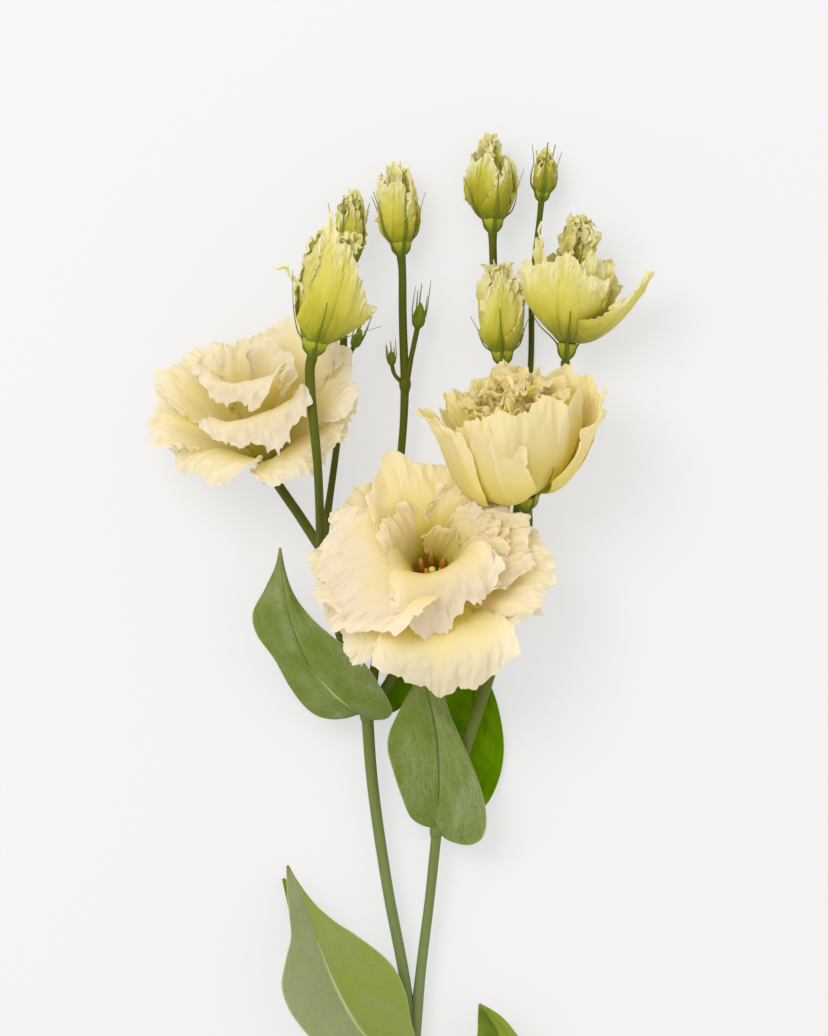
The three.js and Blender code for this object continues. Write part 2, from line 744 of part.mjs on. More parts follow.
const spray = new THREE.Group();
spray.add(meshOf("stems", stems, materials.stem));
spray.add(frontBloom, leftBloom, rightBloom);
spray.add(tallBud, hiddenBud, pairedBud, topBud, lowBud, closedBud, cupBud);
spray.add(tinyBud("tiny_bud_left", [-18.2, 206.8, 11.2], [0.4, 0.92, 0.03], 6, 1.7, 11));
spray.add(tinyBud("tiny_bud_middle", [-6.7, 201.4, 10], [-0.05, 1, 0], 4.6, 1.4, 8));
spray.add(tinyBud("tiny_bud_right", [1, 212.5, 10.2], [0.14, 0.99, 0], 8, 2.1, 15));
for (const [name, shape] of Object.entries(leaves)) {
  spray.add(meshOf(name, blade(leaf(shape), 4, 6), materials.leaf));
}

spray.updateMatrixWorld(true);
const bounds = new THREE.Box3().setFromObject(spray, true);
const middle = bounds.getCenter(new THREE.Vector3());
spray.position.set(-middle.x, -middle.y, -bounds.min.z);

export default spray;
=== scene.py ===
# A cut spray of double lisianthus, lying down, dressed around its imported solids.
# Shapes are worked out in millimetres and become metres where a mesh is made.
import math

import bpy
import numpy as np
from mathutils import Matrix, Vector


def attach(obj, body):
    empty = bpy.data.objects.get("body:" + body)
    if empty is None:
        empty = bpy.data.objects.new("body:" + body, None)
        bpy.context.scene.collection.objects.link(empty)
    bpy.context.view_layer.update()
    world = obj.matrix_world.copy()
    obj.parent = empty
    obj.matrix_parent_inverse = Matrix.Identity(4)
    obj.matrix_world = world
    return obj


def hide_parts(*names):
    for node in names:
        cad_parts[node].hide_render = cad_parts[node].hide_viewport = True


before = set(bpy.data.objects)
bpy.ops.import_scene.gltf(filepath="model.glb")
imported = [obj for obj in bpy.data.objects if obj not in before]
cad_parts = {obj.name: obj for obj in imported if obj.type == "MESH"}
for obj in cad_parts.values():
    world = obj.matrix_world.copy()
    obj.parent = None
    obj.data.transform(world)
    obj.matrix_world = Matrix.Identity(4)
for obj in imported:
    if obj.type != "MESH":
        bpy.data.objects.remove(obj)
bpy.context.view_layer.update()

mm = 0.001
# Every place below counts from the middle of the photograph's foot, on the table. This is where that lies in the frame.
photoFoot = Vector((3.761, -87.002, 0.0))
tableGap = 0.02  # what would sink into the table stops this far above it


# numbers and curves

def smooth(x, low, high):
    x = np.clip((x - low) / (high - low), 0, 1)
    return x * x * (3 - 2 * x)


def noise(x, y, seed):  # smooth, from -1 to 1
    size = 64
    table = np.random.default_rng(seed).uniform(-1, 1, (size, size))
    column = np.floor(x).astype(int)
    row = np.floor(y).astype(int)
    fx = x - column
    fy = y - row
    fx = fx * fx * (3 - 2 * fx)
    fy = fy * fy * (3 - 2 * fy)
    low = table[column % size, row % size] * (1 - fx) + table[(column + 1) % size, row % size] * fx
    high = table[column % size, (row + 1) % size] * (1 - fx) + table[(column + 1) % size, (row + 1) % size] * fx
    return low * (1 - fy) + high * fy


def bezier(points, u):
    a, b, c, d = np.array(points, float)
    u = np.asarray(u, float)[..., None]
    v = 1 - u
    return v**3 * a + 3 * v * v * u * b + 3 * v * u * u * c + u**3 * d


def unit(v):
    return v / np.maximum(np.linalg.norm(v, axis=-1, keepdims=True), 1e-9)


def curveThrough(points, count):  # centripetal, like the solids' stems
    p = np.array([q[:3] for q in points], float)
    radius = np.array([q[3] for q in points], float)
    ends = np.vstack([2 * p[0] - p[1], p, 2 * p[-1] - p[-2]])
    spans = len(p) - 1
    at = np.linspace(0, spans, count)
    span = np.minimum(at.astype(int), spans - 1)
    w = (at - span)[:, None]
    p0, p1, p2, p3 = (ends[span + k] for k in range(4))
    d0, d1, d2 = (np.sqrt(np.linalg.norm(b - a, axis=1, keepdims=True)) for a, b in ((p0, p1), (p1, p2), (p2, p3)))
    m1 = ((p1 - p0) / d0 - (p2 - p0) / (d0 + d1) + (p2 - p1) / d1) * d1
    m2 = ((p2 - p1) / d1 - (p3 - p1) / (d1 + d2) + (p3 - p2) / d2) * d1
    path = p1 + m1 * w + (3 * (p2 - p1) - 2 * m1 - m2) * w**2 + (2 * (p1 - p2) + m1 + m2) * w**3
    return path, radius[span] * (1 - w[:, 0]) + radius[span + 1] * w[:, 0]


# meshes, as lists of parts that are each closed
# growth says how far a point is from the middle line, where its colour starts and how young it is, a yellowing that is
# partly the petal's own colour and partly painted golden shade deep among the petals; fibre is its place

def sheetPart(points, half, growth, fibre):  # a closed blade round a grid of points
    across = np.gradient(points, axis=1)
    along = np.gradient(points, axis=0)
    out = unit(np.cross(across, along)) * half[..., None]
    rows, columns = points.shape[:2]
    index = np.arange(rows * columns).reshape(rows, columns)
    quads = np.stack([index[:-1, :-1], index[:-1, 1:], index[1:, 1:], index[1:, :-1]], -1).reshape(-1, 4)
    rim = np.concatenate([index[0, :-1], index[:-1, -1], index[-1, :0:-1], index[:0:-1, 0]])
    after = np.roll(rim, -1)
    other = rows * columns
    sides = np.stack([rim, rim + other, after + other, after], -1)
    faces = np.concatenate([quads, quads[:, ::-1] + other, sides])
    flat = lambda a: a.reshape(other, -1)
    return {
        "points": np.concatenate([flat(points + out), flat(points - out)]),
        "faces": faces,
        "flatFrom": len(faces) - len(sides),
        "growth": np.vstack([flat(growth)] * 2),
        "fibre": np.vstack([flat(fibre)] * 2),
    }


def tubePart(path, radius, sides, flat=1.0, facing=(0, 0, 1), seed=0, ribs=0):
    rings = len(path)
    tangent = unit(np.gradient(path, axis=0))
    normal = np.zeros_like(path)
    last = np.array(facing, float)
    for k in range(rings):
        last = last - tangent[k] * last.dot(tangent[k])
        last = last / np.linalg.norm(last)
        normal[k] = last
    side = np.cross(tangent, normal)
    angle = np.arange(sides) * 2 * math.pi / sides
    swell = 1 + ribs * np.cos(4 * angle)
    ring = normal[:, None] * (np.cos(angle) * swell)[None, :, None] * flat
    ring = ring + side[:, None] * (np.sin(angle) * swell)[None, :, None]
    points = (path[:, None] + ring * radius[:, None, None]).reshape(-1, 3)
    index = np.arange(rings * sides).reshape(rings, sides)
    after = np.roll(index, -1, axis=1)
    walls = np.stack([index[:-1], after[:-1], after[1:], index[1:]], -1).reshape(-1, 4)
    caps = [[0, k + 1, k, k] for k in range(1, sides - 1)]
    far = (rings - 1) * sides
    caps += [[far, far + k, far + k + 1, far + k + 1] for k in range(1, sides - 1)]
    length = np.concatenate([[0], np.cumsum(np.linalg.norm(np.diff(path, axis=0), axis=1))])
    share = np.repeat(length / length[-1], sides)
    turn = np.tile(angle, rings)
    return {
        "points": points,
        "faces": np.concatenate([walls, np.array(caps)]),
        "growth": np.column_stack([np.abs(np.cos(turn)), share, share * 0]),
        "fibre": np.column_stack([turn * np.repeat(radius, sides), np.repeat(length, sides), share * 0 + seed]),
    }


def turnedPart(profile, sides=20):  # profile of (radius, height), from the axis to the axis
    profile = np.array(profile, float)
    inner = profile[1:-1]
    angle = np.arange(sides) * 2 * math.pi / sides
    rings = np.stack([
        inner[:, None, 0] * np.cos(angle),
        inner[:, None, 0] * np.sin(angle),
        np.repeat(inner[:, 1:], sides, axis=1),
    ], -1).reshape(-1, 3)
    count = len(inner)
    index = np.arange(count * sides).reshape(count, sides)
    after = np.roll(index, -1, axis=1)
    walls = np.stack([index[:-1], after[:-1], after[1:], index[1:]], -1).reshape(-1, 4)
    foot, top = count * sides, count * sides + 1
    caps = [[foot, after[0, k], index[0, k], index[0, k]] for k in range(sides)]
    caps += [[top, index[-1, k], after[-1, k], after[-1, k]] for k in range(sides)]
    points = np.vstack([rings, [0, 0, profile[0, 1]], [0, 0, profile[-1, 1]]])
    low, high = profile[:, 1].min(), profile[:, 1].max()
    share = (points[:, 2] - low) / (high - low)
    around = np.arctan2(points[:, 1], points[:, 0])
    wide = np.hypot(points[:, 0], points[:, 1])
    return {
        "points": points,
        "faces": np.concatenate([walls, np.array(caps)]),
        "growth": np.column_stack([share * 0, share, share * 0]),
        "fibre": np.column_stack([around * wide, points[:, 2], share * 0]),
    }


def placed(parts, at, axis):  # from a head's own frame to its place on the spray
    turn = np.array(Vector((0, 0, 1)).rotation_difference(Vector(axis)).to_matrix())
    return [{**part, "points": part["points"] @ turn.T + np.array(at)} for part in parts]


def onTable(parts):  # both faces of a blade are lifted together where one would sink in
    for part in parts:
        points = part["points"]
        half = len(points) // 2
        lift = np.maximum(0, tableGap - np.minimum(points[:half, 2], points[half : 2 * half, 2]))
        points[:half, 2] += lift
        points[half : 2 * half, 2] += lift
    return parts


def makeMesh(name, parts):
    faces = []
    rounded = []
    start = 0
    for part in parts:
        faces += [[v + start for v in dict.fromkeys(f)] for f in part["faces"].tolist()]
        count = len(part["faces"])
        rounded += [k < part.get("flatFrom", count) for k in range(count)]  # the cut edge of a blade is not rounded
        start += len(part["points"])
    points = np.vstack([part["points"] for part in parts])
    mesh = bpy.data.meshes.new(name)
    mesh.from_pydata(((points + np.array(photoFoot)) * mm).tolist(), [], faces)
    mesh.polygons.foreach_set("use_smooth", rounded)
    for key in ("growth", "fibre"):
        layer = mesh.attributes.new(key, "FLOAT_VECTOR", "POINT")
        layer.data.foreach_set("vector", np.vstack([part[key] for part in parts]).astype(np.float32).ravel())
    mesh.update()
    return mesh


def nodeOf(name):  # frontBloom stands for the solids that are called front_bloom
    return "".join("_" + letter.lower() if letter.isupper() else letter for letter in name)


def makePiece(name, parts, material, node):
    piece = bpy.data.objects.new(name, makeMesh(name, parts))
    piece.data.materials.append(material)
    bpy.context.scene.collection.objects.link(piece)
    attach(piece, "root")
    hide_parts(node)


# colours and shader nodes

def linear(code):  # sRGB hex to linear RGBA
    values = [int(code[k : k + 2], 16) / 255 for k in (1, 3, 5)]
    return [v / 12.92 if v <= 0.04045 else ((v + 0.055) / 1.055) ** 2.4 for v in values] + [1.0]


def addNode(tree, kind, inputs=(), stops=(), **settings):  # a node among the inputs means its first output
    node = tree.nodes.new("ShaderNode" + kind)
    for name, value in settings.items():
        setattr(node, name, value)
    for socket, value in dict(inputs).items():
        if isinstance(value, bpy.types.Node):
            value = value.outputs[0]
        if isinstance(value, bpy.types.NodeSocket):
            tree.links.new(value, node.inputs[socket])
        else:
            node.inputs[socket].default_value = value
    if stops:  # a ramp's places and colours
        elements = node.color_ramp.elements
        while len(elements) < len(stops):
            elements.new(0.5)
        for element, (place, code) in zip(elements, stops):
            element.position = place
            element.color = linear(code)
    return node


def newMaterial(name):
    material = bpy.data.materials.new(name)
    material.use_nodes = True
    material.node_tree.nodes.clear()
    return material, material.node_tree


pieceSpread = 7.3  # how far apart two pieces lie in a pattern, so that no two are the same


def readSkin(tree, look, grains):  # growth's three values, the noises drawn along the fibres, and the tone they make
    growth = addNode(tree, "Attribute", attribute_name="growth").outputs["Vector"]
    fibre = addNode(tree, "Attribute", attribute_name="fibre").outputs["Vector"]
    side, rise, mark = addNode(tree, "SeparateXYZ", {0: growth}).outputs
    skin = {"side": side, "rise": rise, "mark": mark}
    for key, (detail, roughness) in grains.items():
        if key + "Mm" in look:
            across, along = look[key + "Mm"]
            scale = (1 / across, 1 / along, pieceSpread)
            place = addNode(tree, "VectorMath", {0: fibre, 1: scale}, operation="MULTIPLY")
            settings = {"Vector": place, "Scale": 1.0, "Detail": detail, "Roughness": roughness}
            skin[key] = addNode(tree, "TexNoise", settings)
    shifts = []
    for key in ("vein", "cloud"):
        shifts.append((addNode(tree, "Math", {0: skin[key], 1: 0.5}, operation="SUBTRACT"), look[key + "Shift"]))
    if "sideShift" in look:
        shifts.append((side, look["sideShift"]))
    if "keel" in look:  # a green line down the middle of a young petal
        shifts.append((addNode(tree, "MapRange", {0: side, 1: 0.01, 2: 0.05, 3: 1.0, 4: 0.0}), -look["keel"]))
    # younger inner petals are yellower: partly their own colour, partly painted golden shade where they sit deep among
    # other petals
    if "youthAndGoldenShadeShift" in look:
        shifts.append((mark, look["youthAndGoldenShadeShift"]))
    tone = rise
    for k, (value, weight) in enumerate(shifts):
        last = k == len(shifts) - 1
        tone = addNode(tree, "Math", {0: value, 1: weight, 2: tone}, operation="MULTIPLY_ADD", use_clamp=last)
    return {**skin, "tone": tone}


def lightThrough(tree, look, surface, colour):
    glow = addNode(tree, "BsdfTranslucent", {"Color": colour})
    mix = addNode(tree, "MixShader", {0: look["translucent"], 1: surface, 2: glow})
    addNode(tree, "OutputMaterial", {"Surface": mix})


def petalMaterial(name, look):
    # Living petal: thin wet cells under a velvety skin, so light comes through it and no highlight is sharp.
    material, tree = newMaterial(name)
    skin = readSkin(tree, look, {"vein": (3.0, 0.5), "cloud": (2.0, 0.5)})
    surface = addNode(tree, "BsdfPrincipled", {
        "Base Color": addNode(tree, "ValToRGB", {"Fac": skin["tone"]}, look["stops"]),
        "Roughness": 0.6, "IOR": 1.4, "Specular IOR Level": 0.35,
        "Subsurface Weight": 0.25, "Subsurface Radius": (1.0, 0.85, 0.4), "Subsurface Scale": 1.6 * mm,
        "Sheen Weight": 0.15, "Sheen Roughness": 0.5,
        "Normal": addNode(tree, "Bump", {"Height": skin["vein"], "Strength": look["bump"], "Distance": 0.25 * mm}),
    })
    lightThrough(tree, look, surface, addNode(tree, "ValToRGB", {"Fac": skin["tone"]}, look["throughStops"]))
    return material


def greenMaterial(name, look):
    # Waxy green skin: stems, sepals and leaves share it, with their own bloom, veins and specks.
    material, tree = newMaterial(name)
    skin = readSkin(tree, look, {"vein": (3.0, 0.5), "cloud": (3.0, 0.6), "speck": (2.0, 0.7)})
    colour = addNode(tree, "ValToRGB", {"Fac": skin["tone"]}, look["stops"]).outputs[0]
    layers = []  # how much of which colour lies over it, from the lowest up
    if "speckMm" in look:
        low, high = look["speckRange"]
        specks = addNode(tree, "MapRange", {0: skin["speck"], 1: low, 2: high, 4: 0.75})
        layers.append((specks, linear(look["speckColour"])))
    if "cup" in look:  # mark is 1 on the calyx cup, which is as yellow as young petals towards its rim
        onCup = addNode(tree, "MapRange", {0: skin["mark"], 1: 0.8, 2: 0.95})
        low, high = look["cupFrom"]
        rising = addNode(tree, "MapRange", {0: skin["rise"], 1: low, 2: high})
        layers.append((addNode(tree, "Math", {0: onCup, 1: rising}, operation="MULTIPLY"), linear(look["cup"])))
    if "midrib" in look:  # side is 0 on the midrib and 1 at the margin, and mark is how far up the leaf
        amounts = {}
        for key, (source, first, last) in {
            "ribEnds": ("side", 0.8, 0.0), "rimStarts": ("side", 0.0, 0.7), "tipStarts": ("mark", 0.0, 1.0),
            "paleEnds": ("mark", 0.0, 1.0),
        }.items():
            low, high = look[key]
            amounts[key] = addNode(tree, "MapRange", {0: skin[source], 1: low, 2: high, 3: first, 4: last})
        # where the groove colour is dark, it is painted shade inside the sunk midrib
        pale, dark = linear(look["midrib"]), linear(look["groove"])
        ribColour = addNode(tree, "Mix", {0: amounts["paleEnds"], 6: pale, 7: dark}, data_type="RGBA").outputs[2]
        layers += [(amounts["ribEnds"], ribColour), (amounts["rimStarts"], pale)]
        layers.append((amounts["tipStarts"], linear(look["tip"])))
    for amount, over in layers:
        colour = addNode(tree, "Mix", {0: amount, 6: colour, 7: over}, data_type="RGBA").outputs[2]
    surface = addNode(tree, "BsdfPrincipled", {
        "Base Color": colour, "Roughness": look["roughness"], "IOR": 1.45, "Specular IOR Level": look["shine"],
        "Subsurface Weight": 0.15, "Subsurface Radius": (0.6, 1.0, 0.3), "Subsurface Scale": 0.8 * mm,
        "Normal": addNode(tree, "Bump", {"Height": skin["vein"], "Strength": look["bump"], "Distance": 0.3 * mm}),
    })
    lightThrough(tree, look, surface, linear(look["through"]))
    return material


# Mm is the size of a pattern's grains, across and along, and Shift how far it moves the tone. Stops run foot to rim.
creamLook = {
    "veinMm": (0.9, 16), "cloudMm": (7, 11), "veinShift": 0.14, "cloudShift": 0.2, "sideShift": 0.1,
    # the youth shift is partly the petals' own yellowing, partly painted golden shade on inner petals
    "youthAndGoldenShadeShift": -0.35,  # younger petals are yellower
    "bump": 0.35, "translucent": 0.5,
    "stops": [(0.0, "#B8A41A"), (0.14, "#E0D044"), (0.32, "#F4E880"), (0.58, "#F8EDBC"), (0.78, "#FAF1D4"),
              (0.96, "#FAF3E8")],
    "throughStops": [(0.0, "#C2AE1A"), (0.25, "#F0E048"), (0.6, "#FBEC88"), (1.0, "#FDF2BC")],
}
# the left bloom's petal feet are painted lighter than the cream bloom's: painted light that lifts the shade deep
# between its tiers
softLook = dict(
    creamLook, translucent=0.55,
    stops=[(0.0, "#CCC63C"), (0.14, "#E2D974"), (0.32, "#F0E7AC"), (0.58, "#F3EAC4"), (0.78, "#F5EDD4"),
           (0.96, "#F6EFE2")],
    throughStops=[(0.0, "#CCC832"), (0.25, "#EAE070"), (0.6, "#F9EEAC"), (1.0, "#FBF4D4")],
)
lemonLook = dict(
    creamLook,
    stops=[(0.0, "#B2B022"), (0.15, "#E2DA48"), (0.35, "#F8ED80"), (0.65, "#F9EEA6"), (0.94, "#FBF3CE")],
    throughStops=[(0.0, "#BEBC1E"), (0.3, "#F2E74A"), (0.7, "#FCEF82"), (1.0, "#FDF2AE")],
)
budLook = dict(
    creamLook, veinMm=(0.7, 10), cloudMm=(5, 8), veinShift=0.2, cloudShift=0.45, keel=0.16, bump=0.4, translucent=0.3,
    stops=[(0.0, "#7E880E"), (0.25, "#B0AC20"), (0.6, "#DDD352"), (0.85, "#ECE280"), (1.0, "#F8F0B4")],
    throughStops=[(0.0, "#9EA20E"), (0.5, "#D6CA30"), (1.0, "#ECE26A")],
)
closedBudLook = dict(
    budLook,
    stops=[(0.0, "#6C7606"), (0.25, "#92930E"), (0.6, "#B3AC20"), (0.85, "#D8CE54"), (1.0, "#F8F1B2")],
    throughStops=[(0.0, "#8E940A"), (0.5, "#BDB41E"), (1.0, "#D8CE50")],
)
stemLook = {
    "veinMm": (0.5, 30), "cloudMm": (3, 22), "veinShift": 0.5, "cloudShift": 0.5, "bump": 0.25,
    "roughness": 0.55, "shine": 0.2, "translucent": 0.05, "through": "#8A9020",
    "stops": [(0.0, "#74834C"), (0.35, "#66732F"), (0.7, "#4F560C"), (1.0, "#575A08")],
}
calyxLook = {
    "veinMm": (0.4, 8), "cloudMm": (2, 6), "veinShift": 0.3, "cloudShift": 0.3, "bump": 0.25,
    "roughness": 0.55, "shine": 0.2, "translucent": 0.08, "through": "#8FA02A",
    "cup": "#A6A42C", "cupFrom": (0.25, 0.8),
    "stops": [(0.0, "#5C6A14"), (0.5, "#6E7A18"), (0.9, "#76801C"), (1.0, "#6A6616")],
}
leafLook = {
    "veinMm": (0.7, 14), "cloudMm": (7, 9), "veinShift": 0.35, "cloudShift": 1.5, "bump": 0.3,
    "roughness": 0.5, "shine": 0.25, "translucent": 0.12, "through": "#98A83A",
    "speckMm": (0.45, 0.6), "speckRange": (0.575, 0.635), "speckColour": "#4A5426",
    # the dark groove colour is painted shade along the sunk midrib
    "midrib": "#BCC288", "groove": "#4F6220", "paleEnds": (0.3, 0.5),  # a pale midrib up to there, then a dark groove
    "ribEnds": (0.015, 0.05), "rimStarts": (0.97, 1.0),  # as shares of the way from the midrib to the margin
    "tip": "#94842E", "tipStarts": (0.955, 0.99),
    "stops": [(0.0, "#5E7618"), (0.28, "#6A7F2C"), (0.55, "#788642"), (0.8, "#84915A"), (1.0, "#8E9A66")],
}
# the right leaf's groove is darker and dark from near its foot: painted shade along its sunk midrib
grooveShadeLook = dict(leafLook, paleEnds=(0.03, 0.12), groove="#44581C")
foldedLook = dict(  # grey-green where a half shows its back, fresh green on the other half
    leafLook, cloudShift=0.5, veinShift=0.2, speckRange=(0.64, 0.7), groove="#C6CC94",
    stops=[(0.0, "#5A7010"), (0.25, "#7E9024"), (0.45, "#87953E"), (0.75, "#8C9660"), (1.0, "#989F70")],
)
backLeafLook = dict(
    leafLook, speckRange=(0.8, 0.86), midrib="#94B42A", groove="#3E5C00", roughness=0.8, shine=0.04, translucent=0.3,
    through="#90B600", stops=[(0.0, "#4A6C00"), (0.5, "#648A00"), (1.0, "#86AA10")],
)
antherLook = {
    "veinMm": (0.3, 0.6), "cloudMm": (0.8, 0.8), "veinShift": 0.6, "cloudShift": 0.7, "bump": 0.6,
    "roughness": 0.8, "shine": 0.1, "translucent": 0.05, "through": "#C27A24",
    "stops": [(0.0, "#4C260A"), (0.35, "#8C4C14"), (0.7, "#AE661C"), (1.0, "#D09A3C")],
}
pistilLook = dict(stemLook, stops=[(0.0, "#8C9A34"), (0.5, "#B8B24A"), (1.0, "#D9CE6A")], through="#C9C25A")

creamPetal = petalMaterial("livingPetalCream", creamLook)
softPetal = petalMaterial("livingPetalSoft", softLook)
lemonPetal = petalMaterial("livingPetalLemon", lemonLook)
greenPetal = petalMaterial("livingPetalGreen", budLook)
closedPetal = petalMaterial("livingPetalClosed", closedBudLook)
stemSkin = greenMaterial("waxyStem", stemLook)
calyxSkin = greenMaterial("waxySepal", calyxLook)
leafSkin = greenMaterial("glaucousLeaf", leafLook)
leafPaintedGrooveShadeSkin = greenMaterial("groovedLeaf", grooveShadeLook)
foldedLeafSkin = greenMaterial("foldedLeaf", foldedLook)
backLeafSkin = greenMaterial("freshLeaf", backLeafLook)
antherDust = greenMaterial("pollenAnther", antherLook)
pistilSkin = greenMaterial("pistil", pistilLook)
print("materials made")


# petals
# A petal is a blade along a rib, which starts at root and is given by three more points, or by its tip and how steeply
# it leaves. Points are (radius, height) in mm. half is half the width, on both sides or on each, and cup how much it
# curls, all along or at foot and rim. A spike is (place across, length, width), a bend (place, width, depth).

petalDefaults = {
    "swell": 0.42, "claw": 0.16, "shoulder": 0.68, "taper": 0, "lean": 2.5, "twist": 0, "ruffle": 1.6, "waves": 2,
    "round": 0.22, "notch": 0.06, "phase": 0, "frill": 1.2, "frillSize": 1.9, "teeth": 2, "fringe": 1.4, "pleat": 0.25,
    "youthAndGoldenShade": 0, "spikes": (), "bends": (), "ragged": 0.28, "grid": (128, 60), "thick": (0.42, 0.14),
}
toothMm = {"rim": 1.7, "fine": 0.9, "lobe": 3.3, "slit": 1.5, "side": 1.6, "sideLobe": 3.5}  # from one to the next


def heading(degrees):
    return np.array([math.sin(math.radians(degrees)), math.cos(math.radians(degrees))])


def both(value):
    return value if isinstance(value, tuple) else (value, value)


def petalRib(p):
    foot = np.array(p["root"], float)
    if "rib" in p:
        return np.array([foot, *p["rib"]], float)
    tip = np.array([p["reach"], p["rise"]], float)
    pull = p["swell"] * np.linalg.norm(tip - foot)
    return np.array([foot, foot + heading(p["start"]) * pull, tip - heading(p["flare"]) * pull, tip])


def petalPart(given):
    p = {**petalDefaults, **given}
    rib = petalRib(p)
    seed = int(p["turn"] * 7 + rib[3, 1] * 13 + rib[3, 0] * 5) % 9973
    length = np.linalg.norm(np.diff(bezier(rib, np.linspace(0, 1, 40)), axis=0), axis=1).sum()
    left, right = both(p["half"])
    cupFoot, cupRim = both(p["cup"])
    columns, rows = p["grid"]
    s, u = np.meshgrid(np.linspace(-1, 1, columns + 1), np.linspace(0, 1, rows + 1))
    t = 1 - (1 - u) ** 1.5  # closer rows at the rim
    side = np.abs(s)
    wide = left + (right - left) * smooth(s, -0.5, 0.5)
    # the rim is rounded, notched and drawn out in spikes, then cut into teeth
    rimScale = 1 - p["round"] * side**2.4 - p["notch"] * (1 + np.sin(7.1 * s + 2 * p["phase"])) * 0.5
    for place, reach, width in p["spikes"]:
        rimScale = rimScale + reach / length * np.exp(-(((s - place) / width) ** 2))
    mmAcross = s * wide
    rimNoise = lambda size, start, k: noise(mmAcross / toothMm[size] + start, t * 0, seed + k)
    tooth = 0.5 * np.abs(rimNoise("rim", 9, 0)) + 0.3 * np.abs(rimNoise("fine", 31, 1))
    tooth = tooth + 1.3 * np.maximum(0, rimNoise("lobe", 17, 2) - 0.3)
    tooth = tooth - p["fringe"] * np.maximum(0, rimNoise("slit", 23, 10) - 0.45) ** 1.3
    corner = smooth(side, 0.85, 1) * smooth(t, 0.8, 1)
    along = t * rimScale - p["teeth"] / length * tooth * smooth(t, 0.66, 1) ** 1.5 * (1 - corner)
    at = bezier(rib, along)
    slope = unit(bezier(rib, along + 1e-3) - at)
    claw = p["claw"] + (1 - p["claw"]) * smooth(along, 0, p["shoulder"])
    width = wide * claw * (1 - p["taper"] * along**2)
    mmAlong = t * length + np.sign(s) * 50  # 50 mm apart, so that the two sides differ
    sideTooth = np.abs(noise(mmAlong / toothMm["side"], s * 0, seed + 3))
    sideTooth = sideTooth + 1.2 * np.maximum(0, noise(mmAlong / toothMm["sideLobe"], s * 0, seed + 8) - 0.2)
    frayed = smooth(t, p["ragged"], p["ragged"] + 0.3)  # the sides are whole near the foot
    sideCut = p["teeth"] / wide * sideTooth * smooth(side, 0.75, 1) ** 1.5 * frayed * (1 - corner)
    width = width * (1 - sideCut)
    bend = (cupFoot + (cupRim - cupFoot) * along**1.5) / (np.abs(at[..., 0]) + 1.5)
    bend = np.where(np.abs(bend) < 1e-4, 1e-4, bend)
    arc = s * width
    edge = along * along * (0.3 + 0.7 * side**1.5)
    turns = math.pi * p["waves"] * s
    wave = np.sin(turns + p["phase"]) + 0.45 * np.sin(2.3 * turns + 9 * along + p["phase"])
    cupping = (1 - np.cos(bend * arc)) / bend
    # frills grow towards the margin, and lean over sideways as well as standing up
    margin = np.maximum(smooth(t, 0.55, 1) ** 1.6, smooth(side, 0.66, 1) ** 1.6 * frayed)
    around = arc / p["frillSize"] + 40
    down = along * length / p["frillSize"] * 0.45
    fine = noise(around, down, seed + 4) + 0.5 * noise(around * 2.1, down * 1.7, seed + 5)
    curl = noise(around + 11, down + 5, seed + 9)
    pleats = noise(s * 2.6 + 5, along * 1.3, seed + 6) + 0.4 * noise(s * 6 + 5, along * 2, seed + 7)
    inward = cupping + p["lean"] * s * along + p["ruffle"] * edge * wave
    inward = inward + p["frill"] * margin * fine + p["pleat"] * along * pleats
    for place, spread, depth in p["bends"]:  # long folds, from the claw to the rim
        inward = inward + depth * smooth(along, 0.15, 0.7) * np.exp(-(((s - place) / spread) ** 2))
    sideways = np.sin(bend * arc) / bend + 0.6 * p["frill"] * margin * curl
    azimuth = np.radians(p["turn"] + p["twist"] * along)
    radius = at[..., 0] - slope[..., 1] * inward
    points = np.stack([
        radius * np.cos(azimuth) - sideways * np.sin(azimuth),
        radius * np.sin(azimuth) + sideways * np.cos(azimuth),
        at[..., 1] + slope[..., 0] * inward,
    ], -1)
    thick, thin = p["thick"]
    half = 0.5 * (thick + (thin - thick) * np.maximum(smooth(t, 0.2, 1), smooth(side, 0.6, 1)))
    growth = np.stack([side, t, side * 0 + p["youthAndGoldenShade"]], -1)
    fibre = np.stack([s * width, along * length, side * 0 + seed % 89], -1)
    return sheetPart(points, half, growth, fibre)


def whorl(count, start, common, each=lambda k: {}):
    return [{"turn": start + 360 / count * k, "phase": 1.7 * k + start / 40, **common, **each(k)} for k in range(count)]


def tubeOfCorolla(radius):
    return turnedPart([(0, 0.3), (0.8 * radius, 0.3), (1.15 * radius, 2), (1.1 * radius, 4), (0, 4)])


# calyx: a ribbed cup that grows out of the stem, then fine keeled needles

needle = {"points": 40, "foot": 0.85, "tip": 0.17, "flatness": 0.45}


